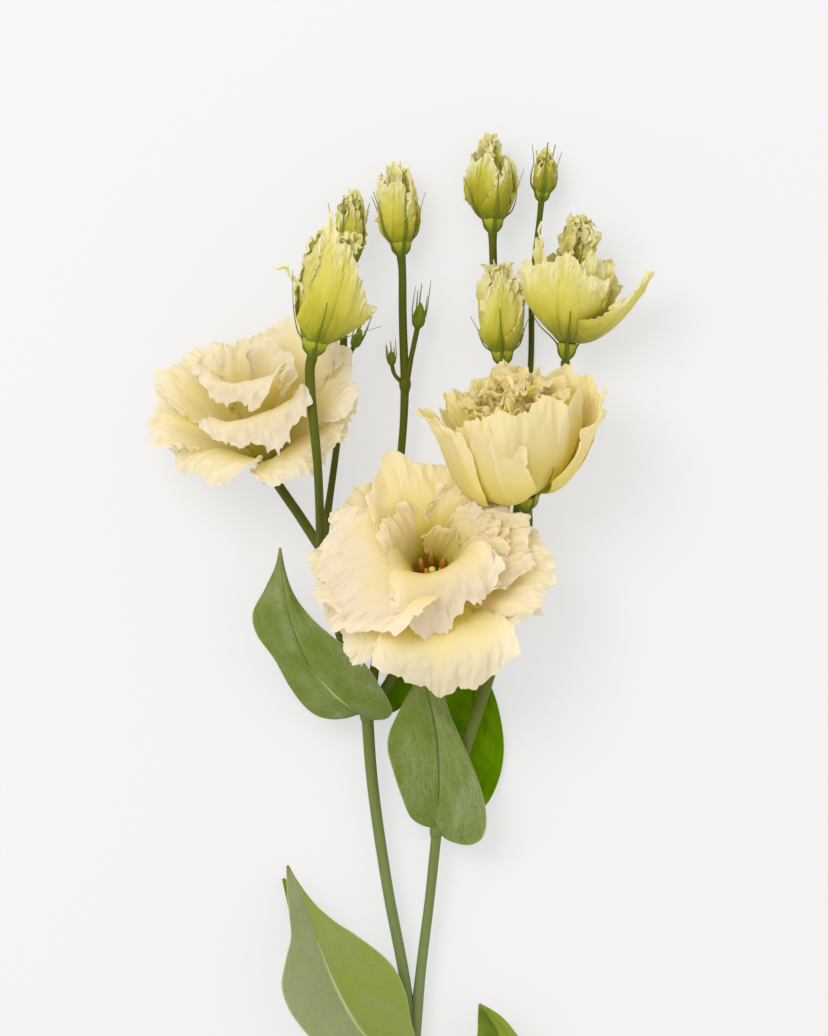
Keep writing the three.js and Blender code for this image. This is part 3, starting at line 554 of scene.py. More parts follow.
def calyxParts(sepals, radius, depth):
    foot = -depth - 0.3
    wall = [(r * radius, h * depth) for r, h in ((0.52, -0.74), (0.66, -0.66), (0.9, -0.5), (1.1, -0.26), (1.22, 0))]
    lip = [(r * radius, h) for r, h in ((1.28, 0.8), (1.22, 0.9), (0.85, 0.2))]
    cup = turnedPart([(0, foot), (0.5 * radius, foot), *wall, *lip, (0, 0.2)], 40)
    keelDepth = 0.07
    around = np.arctan2(cup["points"][:, 1], cup["points"][:, 0]) - math.radians(sepals[0][0])
    keels = 1 + keelDepth * np.cos(len(sepals) * around) * smooth(cup["points"][:, 2], -depth, 0)
    cup["points"][:, :2] *= keels[:, None]
    cup["growth"][:, 2] = 1
    parts = [cup]
    for k, (turn, route) in enumerate(sepals):
        c, s = math.cos(math.radians(turn)), math.sin(math.radians(turn))
        path = [(0.56 * radius, -0.76 * depth), (0.94 * radius, -0.48 * depth), (1.24 * radius, 0.1), *route]
        line, _ = curveThrough([(r * c, r * s, h, 1) for r, h in path], needle["points"])
        share = np.linspace(0, 1, needle["points"])
        radii = needle["tip"] + needle["foot"] * (1 - share) ** 1.3 * (0.3 + 0.7 * smooth(share, 0, 0.25))
        parts.append(tubePart(line, radii, 8, needle["flatness"], facing=(c, s, 0.3), seed=k))
    return parts


def fiveSepals(start, *route):
    return [(start + 72 * k, route) for k in range(5)]


def sepalsOn(petal, turns, lengths, spread):  # they hug that petal's rib, then bend away at their tips
    line = bezier(petalRib(petal), np.linspace(0, 1, 60))
    offRib = 0.9
    sepals = []
    for k, turn in enumerate(turns):
        length = lengths[k % len(lengths)]
        heights = (0.16 * length, 0.38 * length, 0.62 * length)
        hug = [(float(np.interp(h, line[:, 1], line[:, 0])) + offRib, h) for h in heights]
        sepals.append((turn, (*hug, (hug[-1][0] + spread, length))))
    return sepals


places = {
    "frontBloom": {"at": (5, 133, 16), "axis": (0.03, 0.47, 0.88)},
    "leftBloom": {"at": (-43.8, 173.7, 9), "axis": (-0.17, 0.72, 0.68)},
    "rightBloom": {"at": (33.3, 161.7, 27), "axis": (-0.1, 0.93, 0.34)},
    "tallBud": {"at": (-29.4, 207.6, 42.8), "axis": (0.18, 0.97, 0.1)},
    "hiddenBud": {"at": (-20.6, 232, 13), "axis": (0.09, 0.98, 0)},
    "pairedBud": {"at": (-4.2, 238.5, 10), "axis": (-0.08, 1, 0.03)},
    "topBud": {"at": (23.6, 245.4, 11), "axis": (-0.02, 1, 0.02)},
    "closedBud": {"at": (38.7, 253.6, 8), "axis": (0.1, 1, 0)},
    "cupBud": {"at": (46, 207, 16), "axis": (0.1, 0.98, 0.06)},
    "lowBud": {"at": (26.6, 205.5, 12.6), "axis": (-0.04, 0.99, 0.03)},
}


def headPieces(name, petals, look, sepals, calyxRadius=3.3, calyxDepth=5, core=None):
    node, place = nodeOf(name), places[name]
    for k, p in enumerate(petals):
        makePiece(f"{name}Petal{k + 1}", onTable(placed([petalPart(p)], **place)), look, node + "_petals")
    heart = [tubeOfCorolla(calyxRadius)] + ([turnedPart(core)] if core else [])
    makePiece(name + "Heart", placed(heart, **place), look, node + "_petals")
    green = placed(calyxParts(sepals, calyxRadius, calyxDepth), **place)
    makePiece(name + "Calyx", green, calyxSkin, node + "_calyx")


def stamenPieces(name):
    node, place = nodeOf(name) + "_stamens", places[name]
    foot = 4.3
    pistil = [(0, 0), (1.6, 0), (1.9, 2), (1.5, 5), (0.7, 8), (0.55, 9.5), (1.1, 10.4), (0.9, 11), (0, 11.1)]
    threads = [turnedPart([(r, foot + h) for r, h in pistil])]
    anthers = []
    for k in range(5):
        angle = math.radians(72 * k + 20)
        point = lambda r, h, w: (r * math.cos(angle), r * math.sin(angle), foot + h, w)
        line, radii = curveThrough([point(1.4, 0.4, 0.34), point(2.4, 6, 0.3), point(3, 9.2, 0.26)], 14)
        threads.append(tubePart(line, radii, 8, seed=k))
        nod = 1.6 * math.sin(5 * k + 1)  # each anther tips its own way on its thread
        x, y, z = line[-1]
        line, radii = curveThrough([
            (x - 0.2 * nod, y - 1.6, z - 1.6, 0.3), (x, y - 0.6, z - 0.6, 0.95),
            (x + 0.2 * nod, y + 1.3, z + 0.8, 0.9), (x + 0.4 * nod, y + 2.9, z + 1.5, 0.35),
        ], 18)
        anthers.append(tubePart(line, radii, 10, 0.7, seed=k, ribs=0.12))
    makePiece(name + "Pistil", placed(threads, **place), pistilSkin, node)
    makePiece(name + "Anthers", placed(anthers, **place), antherDust, node)


outer = {"root": (3.5, 1.6), "cup": (0.4, 0.2), "ruffle": 1.8}
middleRow = {"root": (3.4, 2.6)}
inner = {"root": (3.2, 3.2), "grid": (96, 52)}
bowl = {"root": (3.4, 1.6), "shoulder": 0.42, "cup": 0.85, "lean": 2, "ragged": 0.68, "pleat": 0.15, "frill": 1}

frontPetals = [
    dict(outer, turn=277, rib=((15, 10), (30.5, 34), (35.8, 3)), half=22, cup=(0.4, 0.05), pleat=0.15,
         teeth=1.1, fringe=0.6, frill=0.8, notch=0.02, spikes=((-0.045, 2.6, 0.13),), phase=0.4),
    dict(outer, turn=226, rib=((14, 12), (26, 20), (37, 6)), half=(18, 12), phase=2),
    dict(outer, turn=182, rib=((14, 10), (26, 18), (38, 15)), half=17, cup=(0.4, 0.3), phase=3.3),
    dict(outer, turn=146, rib=((14, 12), (24, 24), (34, 23)), half=15, cup=(0.4, 0.3), phase=4),
    dict(outer, turn=350, rib=((12, 12), (24, 26), (38, 19)), half=15, cup=(0.4, 0.1), ruffle=2.6, phase=5),
    dict(outer, turn=335, rib=((12, 10), (22, 22), (32, 15)), half=11, taper=0.5, cup=(0.4, 0.1),
         spikes=((0.1, 4.5, 0.42),), phase=1.9),
    dict(middleRow, turn=98, rib=((7, 18), (13, 31), (31, 31)), half=(16, 19), cup=(0.8, 0.35), pleat=0.1,
         youthAndGoldenShade=0.55, teeth=1.1, fringe=0.5, frill=0.7, notch=0.03, round=0.16,
         spikes=((0.5, 3.5, 0.2), (-0.4, -2, 0.5), (1, -3.5, 0.25)), phase=1.2),
    dict(middleRow, turn=207, root=(3.4, 3), rib=((7, 24), (10, 38), (37, 12)), half=(24, 21), cup=(0.6, 0.15),
         pleat=0.15, lean=1, frill=1, phase=1.4),
    dict(middleRow, turn=6, rib=((6, 20), (14, 30), (32, 25)), half=14, cup=(0.6, 0.2), ruffle=2.4, frill=1.4,
         frillSize=1.5, youthAndGoldenShade=0.3, phase=3.8),
    dict(middleRow, turn=44, rib=((7, 18), (13, 30), (29, 29)), half=14, cup=(0.7, 0.3), frill=1.4, frillSize=1.6,
         youthAndGoldenShade=0.5, phase=0.5),
    dict(inner, turn=140, root=(3.4, 3), rib=((7, 13), (8, 24), (18, 32)), half=(11, 13), cup=(0.8, 0.3), lean=1,
         frill=1.1, youthAndGoldenShade=0.5, phase=0.9),
    dict(inner, turn=344, rib=((6, 20), (13, 33), (25, 24)), half=11, cup=(0.7, 0.2), frill=1.6, frillSize=1.5,
         youthAndGoldenShade=0.3, phase=4.4),
    dict(inner, turn=24, rib=((7, 18), (12, 30), (22, 29)), half=10, cup=(0.7, 0.2), frill=1.6, frillSize=1.5,
         youthAndGoldenShade=0.35, phase=2.4),
    dict(inner, turn=290, rib=((5, 33), (8, 37), (24, 18)), half=(20, 17), cup=(0.6, 0.1), teeth=2.2, frill=1,
         ragged=0.66, spikes=((-0.6, 5, 0.22), (0.5, -3, 0.4)), phase=0.2),
    dict(inner, turn=70, root=(3, 3.2), rib=((6, 14), (9, 22), (9, 28)), half=5.5, cup=0.9, youthAndGoldenShade=0.5, phase=2.7),
]
headPieces("frontBloom", frontPetals, creamPetal, fiveSepals(54, (12, 0), (17, 4)))
stamenPieces("frontBloom")
print("front bloom made")

leftPetals = [
    dict(outer, turn=232, rib=((12, 10), (20, 26), (30, 13)), half=18, youthAndGoldenShade=0.1, phase=0.4),
    dict(outer, turn=308, rib=((12, 10), (20, 24), (31, 12)), half=16, youthAndGoldenShade=0.1, phase=2),
    dict(outer, turn=342, rib=((12, 10), (22, 22), (31, 16)), half=15, phase=3.3),
    dict(outer, turn=10, rib=((12, 14), (22, 28), (33, 25)), half=16, cup=(0.4, 0.3), phase=4),
    dict(outer, turn=57, rib=((12, 16), (20, 32), (30, 32)), half=(18, 15), cup=(0.4, 0.3),
         spikes=((0.95, -5.5, 0.55),), phase=5),
    dict(outer, turn=107, rib=((12, 16), (18, 28), (24, 28)), half=16, cup=(0.4, 0.3), phase=1),
    dict(outer, turn=150, rib=((14, 14), (24, 28), (33, 25)), half=16, cup=(0.4, 0.3), phase=1.2),
    dict(outer, turn=182, rib=((14, 12), (24, 26), (35, 17)), half=18, phase=2.6),
    dict(middleRow, turn=282, rib=((8, 20), (12, 42), (22, 20)), half=18, cup=(0.6, 0.2), phase=1.4),
    dict(inner, turn=255, rib=((2, 26), (4, 49), (13, 30)), half=15, cup=(0.6, 0.2), phase=0.5),
    dict(inner, turn=125, rib=((4, 20), (8, 32), (14, 37)), half=13, cup=0.6, phase=0.2),
    dict(inner, turn=25, rib=((4, 20), (8, 32), (16, 37)), half=12, cup=0.7, phase=2.7),
]
headPieces("leftBloom", leftPetals, softPetal, fiveSepals(54, (11, 0), (14.5, 3)))
stamenPieces("leftBloom")
print("left bloom made")

crown = dict(inner, start=45, cup=(0.8, 0.1), lean=2, frill=2.1, frillSize=1.5, teeth=1.6, youthAndGoldenShade=0.4)
rightPetals = [
    dict(bowl, turn=203, rib=((26, -7), (18, 22), (29, 33)), half=(16, 11), round=0.1, phase=0.4),
    dict(bowl, turn=241, rib=((17, -3), (21.5, 14), (21, 34)), half=(17, 13), spikes=((0.95, -3, 0.4),),
         bends=((0.35, 0.1, -1.2), (-0.3, 0.12, 0.8)), round=0.12, teeth=2.4, phase=2.6),
    dict(bowl, turn=294, rib=((10.5, 3), (21, 15), (20, 38)), half=(17, 19), round=0.06, frill=0.6, teeth=1,
         bends=((0.45, 0.12, -0.9), (-0.35, 0.1, 0.7)), phase=2),
    dict(bowl, turn=356, rib=((15, 0), (21, 15), (28, 33)), half=15, round=0.12, phase=1.2),
    dict(bowl, turn=40, rib=((18, -1), (20, 20), (25, 35)), half=16, youthAndGoldenShade=0.1, phase=4),
    dict(bowl, turn=100, rib=((18, -1), (17, 22), (17, 39)), half=15, youthAndGoldenShade=0.1, phase=5),
    dict(bowl, turn=150, rib=((18, -1), (18, 20), (26, 31)), half=16, youthAndGoldenShade=0.1, phase=3),
    *whorl(6, 185, dict(crown, reach=18, rise=33.5, flare=80, half=10.5)),
    *whorl(5, 215, dict(crown, reach=11.5, rise=36.5, flare=85, half=8.5)),
    *whorl(4, 160, dict(crown, start=25, reach=6.5, rise=38, flare=80, half=7)),
]
rightSepals = sepalsOn(rightPetals[2], (5, 60, 120, 235, 310), (13, 10), 3)
headPieces("rightBloom", rightPetals, lemonPetal, rightSepals)
stamenPieces("rightBloom")
print("right bloom made")


# buds

wrapped = {
    "root": (3, 1), "claw": 0.5, "shoulder": 0.3, "taper": 0.2, "cup": (1, 0.75), "twist": 38, "ruffle": 0.9,
    "waves": 1.6, "round": 0.26, "frill": 1.05, "frillSize": 0.9, "teeth": 1.3, "fringe": 1.2, "grid": (120, 60),
}
tuft = {
    "root": (1.8, 3), "start": 20, "cup": (0.9, 0.4), "shoulder": 0.5, "ruffle": 1, "frill": 1.3, "frillSize": 0.9,
    "teeth": 1.4, "fringe": 1.2, "youthAndGoldenShade": 0.2, "grid": (96, 52),
}


def budPetals(b):
    def rib(k):  # each petal is a little lower and slimmer than the one before
        height, girth = b["height"] * (1 - 0.07 * (k % 3)), b["girth"] * (1 - 0.04 * k)
        return {"rib": ((0.86 * girth, 0.1 * height), (1.3 * girth, 0.52 * height), (b["tipReach"], height))}

    girth = b["girth"]
    body = dict(wrapped, root=(1.12 * b["radius"], 0.1), half=1.08 * girth, lean=0.24 * girth)
    tip = dict(tuft, reach=b["tuftReach"] * girth, rise=b["tuftRise"] * b["height"], half=0.42 * girth, youthAndGoldenShade=0)
    return whorl(b["petals"], b["start"], body, rib) + whorl(4, b["start"] + 25, {**tip, "flare": 45})


def budCore(height, girth):
    return [(0, 0.3), (0.4 * girth, 1), (0.55 * girth, 0.3 * height), (0.4 * girth, 0.55 * height), (0, 0.82 * height)]


tallPetals = [
    dict(wrapped, turn=20, rib=((8, 4), (9, 16), (6, 29)), half=10, lean=2, frill=1.6, phase=2),
    dict(wrapped, turn=95, rib=((8, 4), (10, 20), (5, 35)), half=10, lean=2, phase=3),
    dict(wrapped, turn=172, rib=((6, 6), (4, 18), (14.5, 20)), half=5, lean=0.5, round=0.6, taper=0.6, twist=0,
         spikes=((0, 3, 0.3),)),
    dict(wrapped, turn=205, root=(3.5, 0.2), rib=((5.5, 4), (7.5, 18), (5, 33)), half=8, lean=1, phase=4),
    dict(wrapped, turn=284, root=(3.5, 0.2), rib=((8, 4), (12, 19), (7, 37)), half=(10, 17), claw=0.4,
         cup=(0.5, 0.05), lean=-1, twist=6, round=0.2, frill=0.9, teeth=2, pleat=0.1, ragged=0.45,
         spikes=((-0.75, 6, 0.35), (1, -12, 0.9)), bends=((0.3, 0.09, -0.8), (0.75, 0.12, 0.7)), phase=5),
    dict(tuft, turn=338, reach=9.5, rise=33, half=6.5, flare=50, frill=1.7, phase=1),
    dict(tuft, turn=306, reach=8, rise=35, half=6, flare=50, frill=1.7, phase=4),
    *whorl(5, 240, dict(tuft, reach=5, rise=34, half=5.5, flare=45, frill=1.6)),
]
tallSepals = [
    (192, ((6, 2.5), (8.6, 9), (11, 20))), (268, ((6, 2.5), (10.6, 8), (12, 13))),
    (338, ((6.5, 1.8), (11.5, 4.5), (19, 8.5))), (48, ((6.5, 2.5), (11, 8), (13, 15))),
    (115, ((6.5, 2.5), (11, 8), (13, 15))),
]
headPieces("tallBud", tallPetals, greenPetal, tallSepals, calyxRadius=3.2, core=budCore(33, 8))

budDefaults = {
    "petals": 4, "tipReach": 4, "radius": 2.7, "depth": 5, "tuftReach": 0.45, "tuftRise": 1.04, "look": closedPetal,
}
smallBuds = {
    "hiddenBud": {"height": 22, "girth": 4.8, "start": 10, "petals": 3, "tipReach": 2, "sepal": 19},
    "pairedBud": {"height": 23.5, "girth": 6.4, "start": 60, "tipReach": 3, "sepal": 17, "look": greenPetal},
    "topBud": {"height": 22, "girth": 7.2, "start": 120, "sepal": 15, "tuftRise": 1.18},
    "lowBud": {"height": 25, "girth": 7.4, "start": 250, "sepal": 13, "tuftReach": 0.7, "tuftRise": 1.1,
               "look": greenPetal},
    "closedBud": {"height": 13, "girth": 3.5, "start": 30, "petals": 3, "tipReach": 1, "radius": 1.9, "depth": 3.4,
                  "sepal": 15},
}
for name, given in smallBuds.items():
    b = {**budDefaults, **given}
    petals = budPetals(b)
    turns = [b["start"] + 20 + 72 * k for k in range(5)]
    lengths = [b["sepal"] * share for share in (1, 0.85, 0.93)]
    sepals = sepalsOn(petals[0], turns, lengths, 0.3 * b["girth"])
    core = budCore(b["height"], 0.85 * b["girth"])
    headPieces(name, petals, b["look"], sepals, b["radius"], b["depth"], core)

cup = {
    "root": (2.6, 1.4), "claw": 0.35, "shoulder": 0.34, "cup": (1, 0.8), "lean": 1.6, "ruffle": 1.4, "grid": (120, 60),
    "frill": 1.1, "frillSize": 1.1, "teeth": 1.6, "ragged": 0.45,
}
cupPetals = [
    dict(cup, turn=176, rib=((8, 5), (11, 18), (12, 34)), half=9, taper=0.3, spikes=((0.2, 3, 0.2),), phase=1),
    dict(cup, turn=244, rib=((8, 4), (17, 11), (13, 29)), half=(16, 15), cup=(1, 0.6), round=0.14, phase=2),
    dict(cup, turn=300, rib=((8, 4), (13, 17), (11, 30)), half=10, cup=(1, 0.7), phase=0.6),
    dict(cup, turn=337, rib=((10, 1), (18, 10), (25, 27)), half=14, taper=0.35, cup=(0.9, 0.95), frill=0.7,
         phase=3.5),
    dict(cup, turn=40, rib=((9, 4), (13, 15), (12, 28)), half=11),
    dict(cup, turn=105, rib=((9, 4), (13, 15), (10, 31)), half=11),
    *whorl(6, 220, dict(tuft, reach=5, rise=38, half=5.5, flare=65, frill=1.7)),
    *whorl(4, 250, dict(tuft, reach=2.5, rise=40, half=4, flare=50, frill=1.7)),
]
cupSepals = sepalsOn(cupPetals[1], [335, 47, 119, 191, 263], (11, 14), 2)
headPieces("cupBud", cupPetals, greenPetal, cupSepals, calyxRadius=2.4)
print("buds made")


# tiny side buds, still green

def tinyBud(name, at, axis, height, girth, sepalHeight):
    body = turnedPart([(0, 0), (0.4 * girth, 0), (0.85 * girth, 0.14 * height), (girth, 0.34 * height),
                       (0.8 * girth, 0.62 * height), (0.35 * girth, 0.88 * height), (0, height)])
    parts = [body]
    for k in range(5):
        c, s = math.cos(math.radians(72 * k + 20)), math.sin(math.radians(72 * k + 20))
        bow = 1 + 0.4 * (k % 2)
        route = ((0.4, 0.1 * height), (1.02, 0.5 * height), (1.1 * bow, sepalHeight * (1 - 0.08 * k)))
        line, _ = curveThrough([(r * girth * c, r * girth * s, h, 1) for r, h in route], 16)
        radii = 0.12 + 0.34 * (1 - np.linspace(0, 1, 16)) ** 0.8
        parts.append(tubePart(line, radii, 6, 0.6, facing=(c, s, 0.2), seed=k))
    makePiece(name, placed(parts, at, axis), calyxSkin, nodeOf(name))


tinyBud("tinyBudLeft", (-18.2, 206.8, 11.2), (0.4, 0.92, 0.03), 6, 1.7, 11)
tinyBud("tinyBudMiddle", (-6.7, 201.4, 10), (-0.05, 1, 0), 4.6, 1.4, 8)
tinyBud("tinyBudRight", (1, 212.5, 10.2), (0.14, 0.99, 0), 8, 2.1, 15)


# stems

def meeting(head, radius, depth=5.0):  # the stem runs a little way into the cup
    way = np.array(places[head]["axis"], float)
    way = way / np.linalg.norm(way)
    end = np.array(places[head]["at"]) - way * (depth - 0.4)
    return [(*(end - way * 3.7), 0.9 * radius), (*end, radius)]


# a stem runs through points that are (x, y, height, radius), from the joint that it leaves to the head that it carries
fork = (-0.6, -9.6, 5, 2.5)
leftNode = (-14.1, 95.7, 8.6, 2.2)
leftUpperNode = (-27.9, 146, 14, 1.9)
rightNode = (6.9, 61.2, 8, 1.9)
rightUpperNode = (24.6, 114, 10.5, 2.1)
twinNode = (-2.7, 195.8, 9.5, 1.6)
rightShootNode = (32.4, 181.8, 1.8, 1.6)
stemRoutes = [
    [(0, -95, 2.2, 2.3), (-1.2, -65, 2.6, 2.3), (0.4, -36, 3.6, 2.3), fork],
    [fork, (-2.2, 12, 5.8, 2), (-8.2, 45, 7, 2), (-12.6, 76, 8, 2.1), leftNode],
    [fork, (2, 18, 6, 1.9), (4.8, 41, 7, 1.8), rightNode],
    [rightNode, (15, 84, 9, 2), rightUpperNode, (29.5, 132, 13.5, 1.8), *meeting("rightBloom", 1.9)],
    [rightUpperNode, (28, 134, 5.6, 1.5), (31.4, 160, 2.4, 1.5), rightShootNode],
    [rightShootNode, (27.8, 197, 1.4, 1.4), (24.8, 218, 1.6, 1.4), *meeting("topBud", 1.6)],
    [rightShootNode, *meeting("lowBud", 1.6)],
    [rightShootNode, (35.2, 200, 1.4, 1.1), (35.8, 225, 3, 1.1), *meeting("closedBud", 1.2, 3.4)],
    [rightShootNode, (39, 190, 4.5, 1.6), *meeting("cupBud", 1.8)],
    [leftNode, (-19, 110, 9.4, 1.8), (-25, 130, 11.6, 1.7), leftUpperNode],
    [leftUpperNode, (-28.2, 158, 27.5, 1.6), (-28.6, 171, 42, 1.6), *meeting("tallBud", 2)],
    [leftUpperNode, (-34.5, 156, 7.6, 1.8), *meeting("leftBloom", 2)],
    [leftUpperNode, (-25.4, 162, 5, 1.3), (-22.4, 186, 3, 1.2), (-21.3, 204, 7, 1.4), *meeting("hiddenBud", 1.5)],
    [leftNode, (-11, 116, 6.6, 1.6), (-6.6, 150, 6, 1.5), (-3.3, 182, 8.6, 1.4), twinNode],
    [twinNode, (-3.4, 216, 10, 1.5), *meeting("pairedBud", 1.6)],
    [leftNode, (-5, 110, 7.2, 1.7), *meeting("frontBloom", 2)],
    [(-21.3, 201, 6.2, 0.9), (-19.6, 204.4, 9.6, 0.8), (-18, 207.3, 11.2, 0.9)],
    [twinNode, (-0.8, 204, 10, 0.9), (1.1, 213.1, 10.2, 1)],
    [(-2.7, 195.5, 9.5, 0.9), (-5.8, 198.6, 9.8, 0.7), (-6.7, 201.8, 10, 0.8)],
]
stemSlimness = 0.8  # the living stem against its solid
oliveFrom = 230  # stems turn from grey-green at the cut end to olive there
# the joints that leaves and side stems grow out of are thicker: where, along what, and how thick
stemNodes = [
    (fork[:3], (0, 1, 0.05), 2.5), (leftNode[:3], (-0.1, 1, 0.05), 2.2), (leftUpperNode[:3], (0, 1, 0.1), 1.8),
    (rightNode[:3], (0.2, 1, 0.05), 2.1), (rightUpperNode[:3], (0.2, 1, 0.05), 2), (twinNode[:3], (0, 1, 0.05), 1.75),
    (rightShootNode[:3], (0, 1, 0), 1.7),
]
stemParts = []
for k, route in enumerate(stemRoutes):
    line, radii = curveThrough(route, 12 * len(route))
    part = tubePart(line, radii * stemSlimness, 16, seed=k, ribs=0.03)
    part["growth"][:, 1] = smooth(part["points"][:, 1], 0, oliveFrom)
    part["points"][:, 2] = np.maximum(part["points"][:, 2], tableGap)
    stemParts.append(part)
for at, along, radius in stemNodes:
    knot = turnedPart([
        (0, -2.6), (0.72 * radius, -2.5), (radius, -0.8), (1.04 * radius, 0.4), (0.8 * radius, 2.3), (0, 2.5),
    ])
    knot["growth"][:, 1] = smooth(at[1], 0, oliveFrom)
    stemParts += placed([knot], at, along)
makePiece("stems_grown", stemParts, stemSkin, "stems")
print("stems made")


# leaves

def outline(points, count):  # evenly spaced points along a margin, seen from above
    line, _ = curveThrough([(x, y, 0, 1) for x, y in points], 500)
    length = np.concatenate([[0], np.cumsum(np.linalg.norm(np.diff(line, axis=0), axis=1))])
    at = np.linspace(0, length[-1], count)
    return np.column_stack([np.interp(at, length, line[:, k]) for k in (0, 1)])


# from foot to tip: the rib, and the two margins as seen from above; fold is how far each half rises, in degrees
leafDefaults = {"fold": (6, 6), "bow": 1, "wave": 0.8, "waves": 1.5, "phase": 0, "tone": (0.55, 0.5)}
leafVein = {"width": 0.5, "depth": 0.13, "ribDepth": 0.12, "places": (0.34, 0.66)}


def leafPart(p):
    columns, rows = 72, 96
    s, t = np.meshgrid(np.linspace(-1, 1, columns + 1), np.linspace(0, 1, rows + 1))
    side = np.abs(s)
    left = s < 0
    rib, _ = curveThrough([(*point, 1) for point in p["rib"]], rows + 1)
    rib = rib[:, None] + side[..., None] * 0
    margin = np.where(left[..., None], outline(p["left"], rows + 1)[:, None], outline(p["right"], rows + 1)[:, None])
    reach = margin - rib[..., :2]
    width = np.linalg.norm(reach, axis=-1)
    arc = s * width
    slope = np.tan(np.radians(np.where(left, p["fold"][0], p["fold"][1]))) * smooth(t, 0, 0.12)
    turns = 2 * math.pi * p["waves"] * t + p["phase"] + np.where(left, 0, 1.3)
    ripple = p["wave"] * side**2 * smooth(t, 0, 0.2) * np.sin(turns)
    seed = int(p["rib"][0][0] * 7 + 300) % 911
    uneven = 0.35 * noise(s * 3 + 9, t * 5, seed) * side
    # a sunk midrib, with two long veins on each side of it
    vein = leafVein["ribDepth"] * np.exp(-((arc / leafVein["width"]) ** 2))
    for place in leafVein["places"]:
        fromVein = (side - place * (0.4 + 0.6 * np.sin(math.pi * t))) * width
        vein = vein + leafVein["depth"] * np.exp(-((fromVein / leafVein["width"]) ** 2)) * (1 - t)
    lift = side * width * slope - p["bow"] * side**2 * width * 0.1 + ripple + uneven - vein
    points = np.concatenate([rib[..., :2] + reach * side[..., None], (rib[..., 2] + lift)[..., None]], -1)
    half = 0.5 * (0.5 - 0.28 * smooth(side, 0.5, 1) + 0.5 * np.exp(-((arc / 0.8) ** 2)) * (1 - t))
    growth = np.stack([side, t * 0 + np.where(left, p["tone"][0], p["tone"][1]), t], -1)
    fibre = np.stack([arc, t * 60, side * 0 + seed % 89], -1)
    return sheetPart(points, half, growth, fibre)


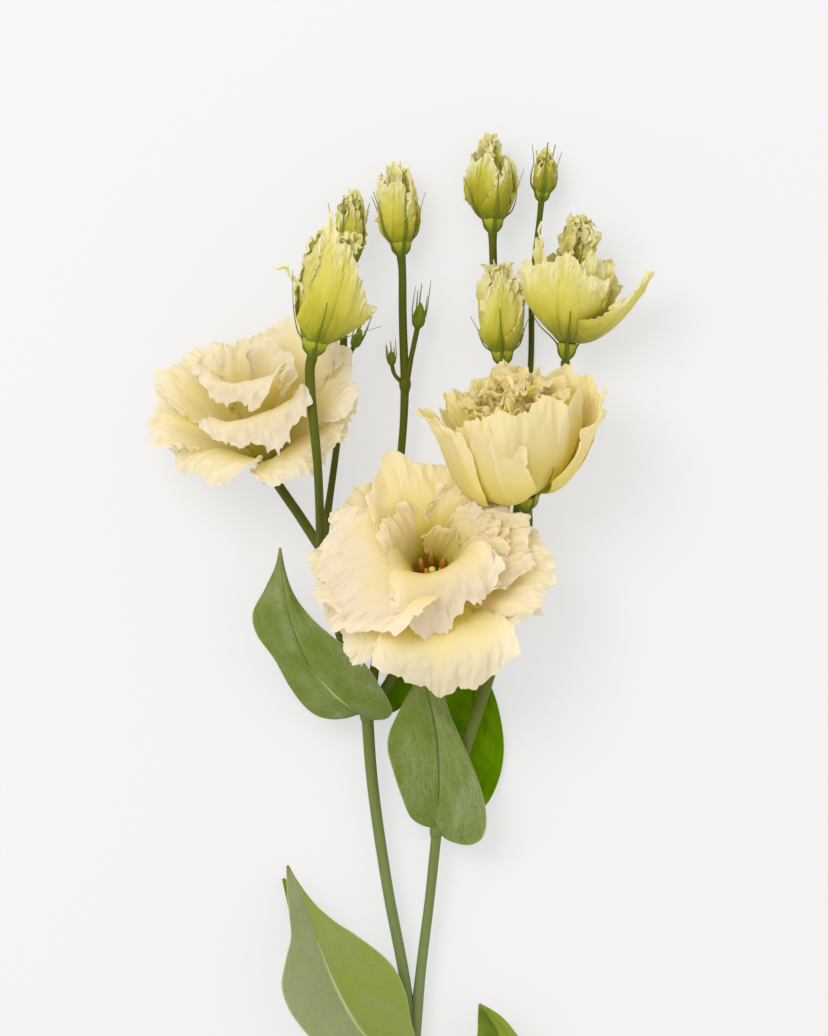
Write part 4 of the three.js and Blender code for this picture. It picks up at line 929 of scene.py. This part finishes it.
leaves = {
    "leftLeaf": {
        "rib": ((-16.4, 96.6, 10.5), (-20.4, 99.4, 14.2), (-25.2, 103.5, 17.4), (-32.1, 112.2, 20.4),
                (-36.9, 124.2, 21.4), (-39.4, 137, 19.4), (-40.2, 146.4, 16.5)),
        "left": ((-16.9, 96.2), (-20, 95.2), (-24.6, 94.8), (-29, 95.8), (-32.6, 98.4), (-36.9, 104), (-42, 113.2),
                 (-47.4, 121), (-48.4, 126.6), (-44.6, 134.4), (-41.6, 141), (-40.5, 146.3)),
        "right": ((-15.7, 95.9), (-13.6, 94.9), (-10.6, 94.6), (-7.6, 95.4), (-6.5, 97.4), (-7.6, 100.4),
                  (-9.6, 104), (-15.6, 112.8), (-25.2, 120.6), (-31.2, 126), (-36, 132.4), (-38.6, 139.4),
                  (-39.9, 146.2)),
        "fold": (8, 10), "wave": 1.1, "phase": 2.2,
    },
    "leftBackLeaf": {
        "rib": ((-12.4, 97, 7.4), (-8, 101, 4.4), (-3, 108, 3), (3, 118, 2.4), (9, 128, 2)),
        "left": ((-12.6, 97.8), (-8.6, 107), (-3.4, 116), (3, 123.4), (8.7, 128)),
        "right": ((-12, 96.2), (-6.6, 96.6), (-3.6, 98.4), (-1, 102.4), (1.6, 107), (5.4, 115), (8.6, 122),
                  (9.3, 127.8)),
        "wave": 0.3,
    },
    "rightLeaf": {
        "rib": ((6.9, 62.2, 9.5), (7.5, 74.1, 13.4), (6.9, 89.1, 16.5), (5.7, 96.6, 17.3), (4.4, 102, 17.5),
                (2.6, 111, 16.4), (2, 117, 15)),
        "left": ((6.1, 61.8), (2.4, 62.8), (-0.9, 65.1), (-3.6, 71.2), (-6.4, 79.7), (-8, 86.2), (-7.5, 90.9),
                 (-5.5, 95.5), (-2.7, 100.8), (0.1, 105.9), (1.2, 111.6), (1.7, 117)),
        "right": ((7.7, 61.4), (9, 59.1), (12.3, 57.5), (16.9, 56.9), (20.2, 58.6), (21.6, 61.9), (21.6, 67.5),
                  (19.8, 75), (16.5, 83.4), (13.2, 90.9), (10.8, 96.5), (9, 102), (5.6, 110.4), (2.4, 117)),
        "fold": (5, 4), "wave": 1, "waves": 1.2, "phase": 4, "tone": (0.42, 0.62),
    },
    "rightBackLeaf": {
        "rib": ((8.4, 63.2, 6.8), (13.6, 72, 4.5), (17.5, 85, 3), (18, 98, 2.4), (17.6, 108, 2.2), (17, 116, 2)),
        "left": ((8.2, 64), (8.2, 73), (7.4, 85), (7, 97), (8.6, 107), (13, 113.6), (16.7, 116)),
        "right": ((9, 62.6), (15.6, 64), (21.6, 68.4), (24.5, 73.2), (26.6, 79.7), (27.2, 86.2), (26.6, 92.7),
                  (24.9, 100.2), (23.3, 104.4), (20.4, 111), (17.3, 116)),
        "wave": 0.4,
    },
    "forkLeaf": {
        "rib": ((-2.4, -9.6, 7), (-8.5, -6, 10.4), (-15.3, 0, 13), (-21.3, 9.6, 14.8), (-27.3, 23.4, 15.2),
                (-33.9, 42.4, 12.8), (-38.1, 50.7, 11)),
        "left": ((-3.2, -10.6), (-9, -11.6), (-17, -10.5), (-25, -6), (-31, 0), (-34.6, 4.4), (-37.6, 9.2),
                 (-39.5, 15.6), (-38.4, 23), (-36.9, 29.6), (-37.4, 36.4), (-38.2, 43.6), (-38.4, 50.6)),
        "right": ((-1.6, -10), (0.8, -8), (1.2, -4), (0.2, 0), (-0.9, 4), (-2.6, 12.9), (-7, 21.4), (-17.7, 30.3),
                  (-23.4, 33.9), (-30, 39.4), (-35, 45.8), (-37.8, 50.6)),
        "fold": (46, 8), "tone": (0.95, 0.48),
    },
    "forkBackLeaf": {
        "rib": ((-3, -9, 3.6), (-14, 0, 1.8), (-24, 14, 1.4), (-32, 30, 1.4), (-39.6, 46.2, 1.8)),
        "left": ((-3.6, -9.8), (-17, -6), (-29, 4), (-35, 18), (-37, 32), (-39.9, 46)),
        "right": ((-2.6, -8.2), (-8, 2), (-16, 16), (-26, 32), (-39.2, 46.4)),
        "fold": (4, 4), "wave": 0.3,
    },
    "forkRightLeaf": {
        "rib": ((1, -13, 5), (8, -17.5, 7.5), (17, -18, 9.5), (25, -12, 10.5), (26, -2, 10), (19.8, 8.7, 8.6)),
        "left": ((1.3, -12), (6, -12.4), (12, -11), (17, -7), (19, 0), (19.2, 5), (19.5, 8.8)),
        "right": ((1.4, -14.4), (7, -23), (17, -27.5), (28, -25), (35, -16), (35.5, -7), (30.9, 0), (26.4, 5.1),
                  (20.1, 8.8)),
        "fold": (24, 18), "tone": (0.05, 0.22),
    },
}
skins = {
    "leftBackLeaf": backLeafSkin, "rightBackLeaf": backLeafSkin, "forkBackLeaf": backLeafSkin,
    "rightLeaf": leafPaintedGrooveShadeSkin, "forkLeaf": foldedLeafSkin, "forkRightLeaf": foldedLeafSkin,
}
for name, given in leaves.items():
    part = leafPart({**leafDefaults, **given})
    makePiece(name, onTable([part]), skins.get(name, leafSkin), nodeOf(name))
print("leaves made")


# stage: floor, light and camera

floorSize = 4.0
floorDrop = 0.0002  # under the spray, so that nothing flickers where it touches
corners = [(-1, -1), (1, -1), (1, 1), (-1, 1)]
floorMesh = bpy.data.meshes.new("floor")
floorMesh.from_pydata([(x * floorSize / 2, y * floorSize / 2, -floorDrop) for x, y in corners], [], [(0, 1, 2, 3)])
# Matt pale table. It glows a little, like a light table, so that shadows stay faint.
paleTable, tableTree = newMaterial("paleTable")
matt = addNode(tableTree, "BsdfPrincipled", {
    "Base Color": linear("#8C8C8C"), "Roughness": 0.9, "Specular IOR Level": 0.1,
    "Emission Color": linear("#FFFFFF"), "Emission Strength": 0.57,
})
addNode(tableTree, "OutputMaterial", {"Surface": matt})
floorMesh.materials.append(paleTable)
floor = bpy.data.objects.new("floor", floorMesh)
bpy.context.scene.collection.objects.link(floor)

roomLight = 0.93
world = bpy.data.worlds.new("studio")
bpy.context.scene.world = world
world.use_nodes = True
background = world.node_tree.nodes["Background"]
background.inputs["Color"].default_value = (1, 1, 1, 1)
background.inputs["Strength"].default_value = roomLight

softBox = {"at": (-0.45, 0.5, 1.1), "aim": (0, 0.08, 0), "size": 0.7, "watts": 7.5}
lamp = bpy.data.lights.new("softBox", "AREA")
lamp.shape = "DISK"
lamp.size = softBox["size"]
lamp.energy = softBox["watts"]
lampObject = bpy.data.objects.new("softBox", lamp)
lampObject.location = softBox["at"]
lampObject.rotation_euler = (Vector(softBox["aim"]) - Vector(softBox["at"])).to_track_quat("-Z", "Y").to_euler()
bpy.context.scene.collection.objects.link(lampObject)

# Straight above the spray, far enough off to match the photograph's flat perspective
view = {
    "centre": (0.0, 155.4), "distance": 2000.0, "focusHeight": 20.0, "mmPerPixel": 0.30, "pixelsHigh": 1036,
    "sensor": 36.0, "farthest": 10,
}
camera = bpy.data.cameras.new("camera")
camera.sensor_width = view["sensor"]
camera.lens = view["sensor"] * (view["distance"] - view["focusHeight"]) / (view["mmPerPixel"] * view["pixelsHigh"])
camera.clip_end = view["farthest"]
cameraObject = bpy.data.objects.new("camera", camera)
cameraObject.location = (Vector((*view["centre"], view["distance"])) + photoFoot) * mm
bpy.context.scene.collection.objects.link(cameraObject)
bpy.context.scene.camera = cameraObject
bpy.context.scene.view_settings.view_transform = "Standard"
print("stage set")
